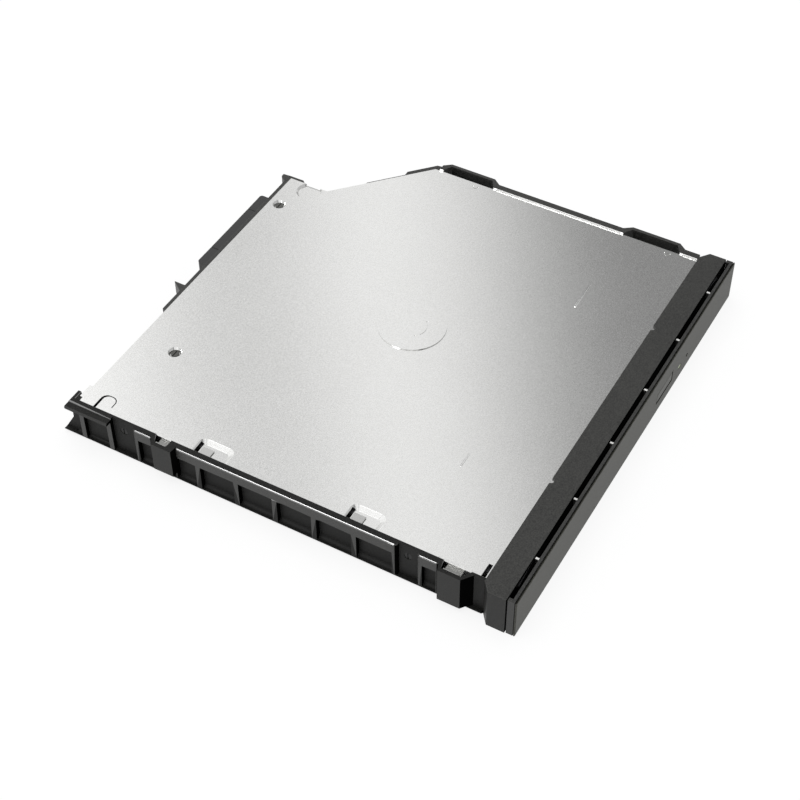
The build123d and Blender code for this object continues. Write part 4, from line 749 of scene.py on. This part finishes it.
# %% [markdown]
# Between the bar and the bezel runs a gap that no light enters. What stands in it,
# which is the lip of the cover, the lip of the tub, the tray's front wall and the
# groove of the frame, is painted black as shade, and so are the walls of the button's
# opening and the upper edge of the face. The tips of the frame's small ribs get a pale
# painted highlight. The two ears of the tub that grip the rail are dull.

# %% Rules for the case, the tray and the bezel
ear_x = -64.2
ear_low_z = 5.0
case_front_y = -63.0
frame_front_y = -66.05
channel_y = -65.25
rib_tip_z = 12.3
rib_reach_x = 60.0
face_top_z = 12.0
gap_reach = 0.5
button_box = [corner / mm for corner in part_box("eject_button")]


def is_ear(place, normal):
    """The top of an ear of the tub, outside the cover's edge."""
    return place.x < ear_x and normal.z > mostly and place.z > ear_low_z


def in_shaded_front_gap(place, normal):
    """Anything that stands in the gap behind the bezel, painted black as shade."""
    return place.y < case_front_y


def shaded_button_opening(place, normal):
    """The walls of the button's opening, painted black as shade."""
    low, high = button_box
    beside = low.x - gap_reach < place.x < high.x + gap_reach
    level = low.z - gap_reach < place.z < high.z + gap_reach
    return beside and level and abs(normal.y) < a_little


def is_shaded_groove(place, normal):
    """The groove between the frame and the face, painted black as shade."""
    return place.y < frame_front_y


def is_rib_tip(place, normal):
    """The top of a small rib in the gap, with a pale painted highlight."""
    high = normal.z > mostly and place.z > rib_tip_z
    return high and place.y > channel_y and abs(place.x) < rib_reach_x


def is_shaded_face_top(place, normal):
    """The upper edge of the face, which looks into the groove, painted black as shade."""
    return normal.z > nearly_all and place.z > face_top_z


print("button from", tuple(button_box[0]), "to", tuple(button_box[1]))


# %% [markdown]
# The order counts. Where two rules pick the same face, the later one wins, so the
# ears are painted after the lip of the tub, and the rib tips after the groove.

# %% Paint by the rules
paint_rules = (
    # Painted shade on the left rail: its pockets, the sides of its ribs and its jogs.
    ("carrier_left_rail", recess_shade_plastic, in_pocket_shade),
    ("carrier_left_rail", gap_shade_black, is_shaded_rib_side),
    ("carrier_left_rail", side_shade_plastic, is_shaded_jog_face),
    # Painted shade on the bar's end.
    ("carrier_front_bar", side_shade_plastic, is_shaded_bar_end),
    # Painted shade: black on what stands in the gap behind the bezel.
    ("top_cover", gap_shade_black, in_shaded_front_gap),
    ("bottom_case", gap_shade_black, in_shaded_front_gap),
    ("tray", gap_shade_black, in_shaded_front_gap),
    # Painted reflection of the cover's edge on the right rail's plastic wall.
    ("carrier_right_rail", cut_edge_highlight_steel, is_painted_reflection_strip),
    ("bottom_case", ear_steel, is_ear),
    # Painted shade in the button's opening, on the bar's front, in the groove and on the
    # face's top.
    ("bezel_face", gap_shade_black, shaded_button_opening),
    ("carrier_front_bar", gap_shade_black, is_shaded_bar_front),
    ("bezel_frame", gap_shade_black, is_shaded_groove),
    # Painted highlight on the tips of the small ribs.
    ("bezel_frame", rib_tip_highlight, is_rib_tip),
    ("bezel_face", gap_shade_black, is_shaded_face_top),
)
for name, material, rule in paint_rules:
    print(name, material.name, paint(soft[name], material, rule), "faces")


# %% [markdown]
# ### Button
#
# The eject button is a cap in an opening of the face. In the photograph the gap shows
# as a black line below the cap and beside it, wider than the CAD model's running
# gap. The copy's cap is therefore a little shorter and narrower. Only the vertices of
# the cap move, and the stem behind it stays.

# %% A wider shadow gap below and beside the button
button_lift = 0.45
button_trim = 0.35
cap_rear_y = -65.5
button_low, button_high = button_box
for vertex in soft["eject_button"].data.vertices:
    place = vertex.co / mm
    if place.y > cap_rear_y:
        continue
    if place.z < button_low.z + gap_reach:
        vertex.co.z += button_lift * mm
    if place.x > button_high.x - gap_reach:
        vertex.co.x -= button_trim * mm
print("button cap", round(button_high.z - button_low.z - button_lift, 2), "mm tall")


# %% [markdown]
# ## Geometry Nodes: things that repeat or follow a path
#
# A thread and a flat cable have a rule: so many turns, so many conductors, one
# section along a path. Each rule becomes a node tree with named inputs, so one tree
# can make the piece in any size. The tree ends by turning its instances into real mesh
# and giving it a material. The result is then copied to a plain mesh, because a
# finished piece should not depend on its modifier.

# %% Helpers that build a tree and grow a mesh from it
GEOMETRY = "NodeSocketGeometry"
WHOLE = "NodeSocketInt"
LENGTH = FLOAT
FINISH = "NodeSocketMaterial"
OBJECT = "NodeSocketObject"


def new_tree(name, inputs):
    """An empty geometry tree, with its Finish input and its way out."""
    tree = bpy.data.node_groups.new(name, "GeometryNodeTree")
    for title, kind, value in inputs:
        socket = tree.interface.new_socket(title, in_out="INPUT", socket_type=kind)
        socket.default_value = value
    tree.interface.new_socket("Finish", in_out="INPUT", socket_type=FINISH)
    tree.interface.new_socket("Geometry", in_out="OUTPUT", socket_type=GEOMETRY)
    start = tree.nodes.new("NodeGroupInput")
    end = tree.nodes.new("NodeGroupOutput")
    realise = tree.nodes.new("GeometryNodeRealizeInstances")
    finish = tree.nodes.new("GeometryNodeSetMaterial")
    tree.links.new(realise.outputs[0], finish.inputs["Geometry"])
    tree.links.new(start.outputs["Finish"], finish.inputs["Material"])
    tree.links.new(finish.outputs[0], end.inputs["Geometry"])
    return tree, start, realise


def grow(name, tree, values):
    """A plain mesh piece made by a tree, with its inputs set by identifier."""
    seed = bpy.data.objects.new(name + "_seed", bpy.data.meshes.new(name + "_seed"))
    bpy.context.scene.collection.objects.link(seed)
    modifier = seed.modifiers.new("Grow", "NODES")
    modifier.node_group = tree
    sockets = {
        item.name: item.identifier
        for item in tree.interface.items_tree
        if item.in_out == "INPUT"
    }
    for key, value in values.items():
        modifier[sockets[key]] = value
    bpy.context.view_layer.update()
    grown = seed.evaluated_get(bpy.context.evaluated_depsgraph_get())
    mesh = bpy.data.meshes.new_from_object(grown)
    mesh.name = name
    bpy.data.objects.remove(seed)
    piece = bpy.data.objects.new(name, mesh)
    bpy.context.scene.collection.objects.link(piece)
    return piece


# %% [markdown]
# ### The traverse's own directions
#
# The mechanism under the tray is turned: the pickup runs from the hub towards the
# front left corner. Its pieces are made along a plain X axis first, and one matrix
# takes them to their place, because numbers along the axis are easier to check.

# %% Where the pickup's own directions point
hub = Vector((hub_x, hub_y, 0.0))
traverse_turn = math.radians(225)
to_traverse = Matrix.Translation(hub * mm) @ Matrix.Rotation(traverse_turn, 4, "Z")
along_traverse = Matrix.Rotation(math.radians(90), 4, "Y")
print("traverse turned", math.degrees(traverse_turn), "degrees about", tuple(hub))


# %% [markdown]
# ### Lead screw thread
#
# The pickup is driven by a screw with a coarse thread: one turn moves it 3 mm. The
# thread could be cut from the rod with a boolean, which is slow and fragile. Here a
# helix, which is a spiral curve whose two radii are equal, carries a small circle
# along it and gives a rolled thread. It turns with the screw.

# %% Thread tree
def make_thread_tree():
    """A wire wound as a helix, from its length, pitch, radius and thickness."""
    tree, start, realise = new_tree(
        "Thread",
        [("Length", LENGTH, 10 * mm), ("Pitch", LENGTH, 1 * mm),
         ("Radius", LENGTH, 1 * mm), ("Wire", LENGTH, 0.1 * mm)],
    )
    turns = add(tree, "ShaderNodeMath", operation="DIVIDE")
    spiral = add(tree, "GeometryNodeCurveSpiral", {"Resolution": 20})
    section = add(tree, "GeometryNodeCurvePrimitiveCircle", {"Resolution": 6})
    sweep = add(tree, "GeometryNodeCurveToMesh", {"Fill Caps": True})
    links = tree.links.new
    links(start.outputs["Length"], turns.inputs[0])
    links(start.outputs["Pitch"], turns.inputs[1])
    links(turns.outputs[0], spiral.inputs["Rotations"])
    links(start.outputs["Radius"], spiral.inputs["Start Radius"])
    links(start.outputs["Radius"], spiral.inputs["End Radius"])
    links(start.outputs["Length"], spiral.inputs["Height"])
    links(start.outputs["Wire"], section.inputs["Radius"])
    links(spiral.outputs["Curve"], sweep.inputs["Curve"])
    links(section.outputs["Curve"], sweep.inputs["Profile Curve"])
    links(sweep.outputs["Mesh"], realise.inputs[0])
    return tree


thread_tree = make_thread_tree()
print("tree", thread_tree.name, "with", len(thread_tree.nodes), "nodes")


# %% The thread on the lead screw
thread_start = 2.0
thread_length = 54.0
screw_offset = 11.6
screw_height = 7.1
screw_thread = grow("screw_thread", thread_tree, {
    "Length": thread_length * mm,
    "Pitch": 3.0 * mm,
    "Radius": 0.88 * mm,
    "Wire": 0.14 * mm,
    "Finish": rod_steel,
})
screw_thread.data.transform(
    to_traverse
    @ Matrix.Translation(Vector((thread_start, screw_offset, screw_height)) * mm)
    @ along_traverse
)
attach(screw_thread, "feed_screw")
print("thread", len(screw_thread.data.polygons), "faces")


# %% [markdown]
# ### Flat cable
#
# The tray is wired to the main board by a flat cable. It leaves the board's socket,
# lies on the floor of the case, folds back under the tray and ends at the tray's
# own board. When the tray comes out the fold follows at half its speed. The tree
# sweeps one section along the path: a thin film with a row of conductors in it. It
# is made in two lengths that meet at the fold.

# %% Flat cable tree: the section
def conductor_row(tree, start):
    """The outlines of the conductors, side by side and centred."""
    strip = add(tree, "GeometryNodeCurvePrimitiveQuadrilateral")
    row = add(tree, "GeometryNodeMeshLine", mode="OFFSET")
    step = add(tree, "ShaderNodeCombineXYZ")
    first = add(tree, "ShaderNodeCombineXYZ")
    less_one = add(tree, "ShaderNodeMath", {1: 1.0}, operation="SUBTRACT")
    span = add(tree, "ShaderNodeMath", operation="MULTIPLY")
    half = add(tree, "ShaderNodeMath", {1: -0.5}, operation="MULTIPLY")
    place = add(tree, "GeometryNodeInstanceOnPoints")
    whole_row = add(tree, "GeometryNodeRealizeInstances")
    links = tree.links.new
    links(start.outputs["Conductor"], strip.inputs["Width"])
    links(start.outputs["Conductor height"], strip.inputs["Height"])
    links(start.outputs["Count"], row.inputs["Count"])
    links(start.outputs["Pitch"], step.inputs[0])
    links(step.outputs[0], row.inputs["Offset"])
    links(start.outputs["Count"], less_one.inputs[0])
    links(less_one.outputs[0], span.inputs[0])
    links(start.outputs["Pitch"], span.inputs[1])
    links(span.outputs[0], half.inputs[0])
    links(half.outputs[0], first.inputs[0])
    links(first.outputs[0], row.inputs["Start Location"])
    links(row.outputs[0], place.inputs["Points"])
    links(strip.outputs[0], place.inputs["Instance"])
    links(place.outputs[0], whole_row.inputs[0])
    return whole_row


def make_cable_tree():
    """A film with a row of conductors, swept along a path."""
    tree, start, realise = new_tree(
        "Flat cable",
        [("Width", LENGTH, 12 * mm), ("Film", LENGTH, 0.06 * mm),
         ("Conductor", LENGTH, 0.5 * mm), ("Conductor height", LENGTH, 0.1 * mm),
         ("Pitch", LENGTH, 1 * mm), ("Count", WHOLE, 11)],
    )
    tree.interface.new_socket("Path", in_out="INPUT", socket_type=OBJECT)
    path = add(tree, "GeometryNodeObjectInfo")
    film = add(tree, "GeometryNodeCurvePrimitiveQuadrilateral")
    section = add(tree, "GeometryNodeJoinGeometry")
    sweep = add(tree, "GeometryNodeCurveToMesh", {"Fill Caps": True})
    row = conductor_row(tree, start)
    links = tree.links.new
    links(start.outputs["Path"], path.inputs["Object"])
    links(start.outputs["Width"], film.inputs["Width"])
    links(start.outputs["Film"], film.inputs["Height"])
    links(film.outputs[0], section.inputs[0])
    links(row.outputs[0], section.inputs[0])
    links(path.outputs["Geometry"], sweep.inputs["Curve"])
    links(section.outputs[0], sweep.inputs["Profile Curve"])
    links(sweep.outputs["Mesh"], realise.inputs[0])
    return tree


cable_tree = make_cable_tree()
print("tree", cable_tree.name, "with", len(cable_tree.nodes), "nodes")


# %% [markdown]
# The path is a list of places in the plane of the cable, y along the drive and z up,
# in millimetres. Long runs get a point every 2 mm. The two lengths meet at the tip of
# the fold.

# %% A function for one length of cable
cable_x = -48.0


def run_points(corners, step=2.0):
    """Points along straight runs, about one every step."""
    points = []
    for (y0, z0), (y1, z1) in zip(corners, corners[1:]):
        count = max(1, round(math.hypot(y1 - y0, z1 - z0) / step))
        for index in range(count):
            share = index / count
            points.append((y0 + (y1 - y0) * share, z0 + (z1 - z0) * share))
    return points + [corners[-1]]


def cable_path(name, corners):
    """A poly line through the points of a run."""
    curve = bpy.data.curves.new(name + "_path", "CURVE")
    curve.dimensions = "3D"
    points = run_points(corners)
    line = curve.splines.new("POLY")
    line.points.add(len(points) - 1)
    for point, (y, z) in zip(line.points, points):
        point.co = (cable_x * mm, y * mm, z * mm, 1)
    path = bpy.data.objects.new(name + "_path", curve)
    bpy.context.scene.collection.objects.link(path)
    return path


def cable_length(name, corners):
    """One length of flat cable, swept along its path."""
    path = cable_path(name, corners)
    piece = grow(name, cable_tree, {
        "Width": 12.0 * mm,
        "Film": 0.05 * mm,
        "Conductor": 0.55 * mm,
        "Conductor height": 0.08 * mm,
        "Pitch": 1.0 * mm,
        "Count": 11,
        "Path": path,
        "Finish": flex_film,
    })
    bpy.data.objects.remove(path)
    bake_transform(piece)
    low = [min(v.co[i] for v in piece.data.vertices) / mm for i in range(3)]
    high = [max(v.co[i] for v in piece.data.vertices) / mm for i in range(3)]
    print(name, len(piece.data.polygons), "faces", low, high)
    return piece


print("cable runs at x", cable_x)


# %% The two lengths of cable
cable_low = 3.28
cable_high = 3.50
tray_plug_z = 5.60
board_plug_z = 4.50
fold_y = -50.0
fold_tip = (fold_y - 0.1, 3.39)
board_y = 17.0
tray_y = 7.0
lower_run = (
    (board_y, board_plug_z), (11.4, board_plug_z), (10.9, 4.2), (10.7, 3.7),
    (10.2, cable_low), (fold_y, cable_low), fold_tip,
)
upper_run = (
    fold_tip, (fold_y, cable_high), (tray_y + 1.2, cable_high),
    (tray_y + 1.7, 3.9), (tray_y + 1.9, 4.6), (tray_y + 1.7, 5.3),
    (tray_y + 1.2, tray_plug_z), (tray_y, tray_plug_z),
)
lower_cable = cable_length(
    "cable_lower", lower_run
)
cable_length("cable_upper", upper_run)
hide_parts("tray_flex")


# %% [markdown]
# ## Camera
#
# The camera stands where the photograph was taken. It was fitted to the edges of the
# cover: 443 mm from a point near the middle, 46.5 degrees up and 60.3 degrees
# round to the left of the bezel, with a long lens. The lens is given by its focal
# length in pixels of a frame 800 wide, which Blender wants as millimetres on the
# width of its sensor.

# %% Place the camera
azimuth = math.radians(-60.32)
elevation = math.radians(46.45)
roll = math.radians(-0.39)
camera_distance = 442.7 * mm
target = Vector((-23.41, -10.73, 12.2)) * mm
focal_px = 1714.08
frame_px = 800
sensor = 36.0

back = Vector((
    math.sin(azimuth) * math.cos(elevation),
    -math.cos(azimuth) * math.cos(elevation),
    math.sin(elevation),
))
camera_data = bpy.data.cameras.new("Camera")
camera_data.sensor_width = sensor
camera_data.lens = focal_px / frame_px * sensor
camera_data.clip_start = 0.01
camera_data.clip_end = 20
camera = bpy.data.objects.new("Camera", camera_data)
bpy.context.scene.collection.objects.link(camera)
look = (-back).to_track_quat("-Z", "Y").to_matrix().to_4x4()
camera.matrix_world = (
    Matrix.Translation(target + back * camera_distance)
    @ look
    @ Matrix.Rotation(roll, 4, "Z")
)
bpy.context.scene.camera = camera
print("lens", round(camera_data.lens, 2), "mm")


# %% [markdown]
# ## Floor and light
#
# The drive lies on a white floor in a plain studio. The floor is a matt white that
# takes the shadow. For the camera, and in reflections, most of it glows at white,
# which keeps the background clean at a plain level of light.

# %% White floor
floor_half = 3.0
floor_drop = 0.02 * mm
floor_white = 0.93
floor_mesh = bpy.data.meshes.new("Floor")
floor_mesh.from_pydata(
    [
        (-floor_half, -floor_half, 0),
        (floor_half, -floor_half, 0),
        (floor_half, floor_half, 0),
        (-floor_half, floor_half, 0),
    ],
    [],
    [(0, 1, 2, 3)],
)
floor = bpy.data.objects.new("Floor", floor_mesh)
floor.location.z = -floor_drop
bpy.context.scene.collection.objects.link(floor)
print("floor reaches", floor_half, "m")


# %% The floor's matt white, and its glow for the camera and for mirrors
floor_material = bpy.data.materials.new("White floor")
floor_material.use_nodes = True
floor_tree = floor_material.node_tree
floor_shader = floor_tree.nodes["Principled BSDF"]
floor_shader.inputs["Base Color"].default_value = rgba((floor_white,) * 3)
floor_shader.inputs["Roughness"].default_value = 0.9
floor_shader.inputs["Specular IOR Level"].default_value = 0.1
floor_glow_share = 0.85
floor_path = add(floor_tree, "ShaderNodeLightPath")
seen_or_mirrored = add(floor_tree, "ShaderNodeMath", operation="ADD", use_clamp=True)
seen_through = add(floor_tree, "ShaderNodeMath", operation="ADD", use_clamp=True)
glow_share = add(
    floor_tree, "ShaderNodeMath", {1: floor_glow_share}, operation="MULTIPLY"
)
glow = add(floor_tree, "ShaderNodeEmission", {"Strength": 1.0})
floor_mix = add(floor_tree, "ShaderNodeMixShader")
floor_out = floor_tree.nodes["Material Output"]
floor_links = floor_tree.links.new
floor_links(floor_path.outputs["Is Camera Ray"], seen_or_mirrored.inputs[0])
floor_links(floor_path.outputs["Is Glossy Ray"], seen_or_mirrored.inputs[1])
floor_links(seen_or_mirrored.outputs[0], seen_through.inputs[0])
floor_links(floor_path.outputs["Is Transmission Ray"], seen_through.inputs[1])
floor_links(seen_through.outputs[0], glow_share.inputs[0])
floor_links(glow_share.outputs[0], floor_mix.inputs[0])
floor_links(floor_shader.outputs[0], floor_mix.inputs[1])
floor_links(glow.outputs[0], floor_mix.inputs[2])
floor_links(floor_mix.outputs[0], floor_out.inputs["Surface"])
floor_mesh.materials.append(floor_material)
print("floor glow", floor_glow_share)


# %% [markdown]
# ### Backdrop
#
# The cover is a blurred mirror, so its grey is the grey of what stands round it. In
# the photograph it is bright at the rear, darker, bright again over the middle and
# falls off to the right, as if grey cards stood behind the camera. They could be
# modelled as planes, but the world does it with less: matt surfaces get an even
# sky, and mirrored or refracted rays get soft bands along one level direction. The
# bands belong to the world, so they stay where they are when the camera moves. The
# camera itself sees plain white.

# %% Backdrop: its levels
sky_even = 0.75
sky_brightest = 1.4
backdrop_from = -1.0
backdrop_to = 1.0
backdrop_way = (0.6, -0.8, 0.0)
seen_white = 1.0
backdrop_bands = (
    (-0.95, 0.80),
    (-0.70, 1.25),
    (-0.45, 1.20),
    (-0.28, 0.85),
    (-0.12, 1.40),
    (0.00, 0.77),
    (0.085, 1.22),
    (0.225, 0.28),
    (0.50, 0.65),
)
print("backdrop bands", backdrop_bands)


# %% Backdrop: its nodes
world = bpy.data.worlds.new("Studio")
bpy.context.scene.world = world
world.use_nodes = True
sky_tree = world.node_tree
background = sky_tree.nodes["Background"]
direction = add(sky_tree, "ShaderNodeTexCoord")
across = add(
    sky_tree, "ShaderNodeVectorMath", {1: backdrop_way}, operation="DOT_PRODUCT"
)
fit = add(
    sky_tree,
    "ShaderNodeMapRange",
    {"From Min": backdrop_from, "From Max": backdrop_to},
)
bands = add(sky_tree, "ShaderNodeValToRGB")
bands.color_ramp.interpolation = "EASE"
for index, (place, level) in enumerate(backdrop_bands):
    spot = (place - backdrop_from) / (backdrop_to - backdrop_from)
    stops = bands.color_ramp.elements
    stop = stops[index] if index < 2 else stops.new(spot)
    stop.position = spot
    stop.color = rgba((level / sky_brightest,) * 3)
gain = add(sky_tree, "ShaderNodeMath", {1: sky_brightest}, operation="MULTIPLY")
path = add(sky_tree, "ShaderNodeLightPath")
shiny = add(sky_tree, "ShaderNodeMath", operation="ADD", use_clamp=True)
backdrop = add(sky_tree, "ShaderNodeMix", {2: sky_even}, data_type="FLOAT")
sky = add(sky_tree, "ShaderNodeMix", {3: seen_white}, data_type="FLOAT")
sky_links = sky_tree.links.new
sky_links(direction.outputs["Generated"], across.inputs[0])
sky_links(across.outputs["Value"], fit.inputs["Value"])
sky_links(fit.outputs["Result"], bands.inputs["Fac"])
sky_links(bands.outputs["Color"], gain.inputs[0])
sky_links(path.outputs["Is Glossy Ray"], shiny.inputs[0])
sky_links(path.outputs["Is Transmission Ray"], shiny.inputs[1])
sky_links(shiny.outputs[0], backdrop.inputs["Factor"])
sky_links(gain.outputs[0], backdrop.inputs[3])
sky_links(path.outputs["Is Camera Ray"], sky.inputs["Factor"])
sky_links(backdrop.outputs[0], sky.inputs[2])
sky_links(sky.outputs[0], background.inputs["Strength"])
background.inputs["Color"].default_value = (1, 1, 1, 1)
print("sky nodes", len(sky_tree.nodes))


# %% [markdown]
# ### Lamps
#
# A broad panel overhead lights the matt surfaces and gives the drive its soft shadow.
# It is kept out of reflections, where it would burn a white patch in the cover. A
# small panel at the rear left does the opposite: it only shows in reflections, as the
# thin lights along the chamfers of the rail and the rims of the windows.

# %% Lamps
def lamp(name, place, size, power, glossy=True, diffuse=True):
    """A square panel that faces the origin."""
    data = bpy.data.lights.new(name, "AREA")
    data.size = size
    data.energy = power
    item = bpy.data.objects.new(name, data)
    item.location = place
    item.rotation_mode = "QUATERNION"
    item.rotation_quaternion = (-Vector(place)).to_track_quat("-Z", "Y")
    item.visible_glossy = glossy
    item.visible_diffuse = diffuse
    bpy.context.scene.collection.objects.link(item)
    return item


lamp("Overhead panel", (0.0, 0.1, 1.5), 1.5, 13, glossy=False)
lamp("Edge panel", (-0.58, 0.27, 0.48), 0.22, 1.6, diffuse=False)
bpy.context.scene.view_settings.view_transform = "Standard"
print("lights", len(bpy.data.lights))
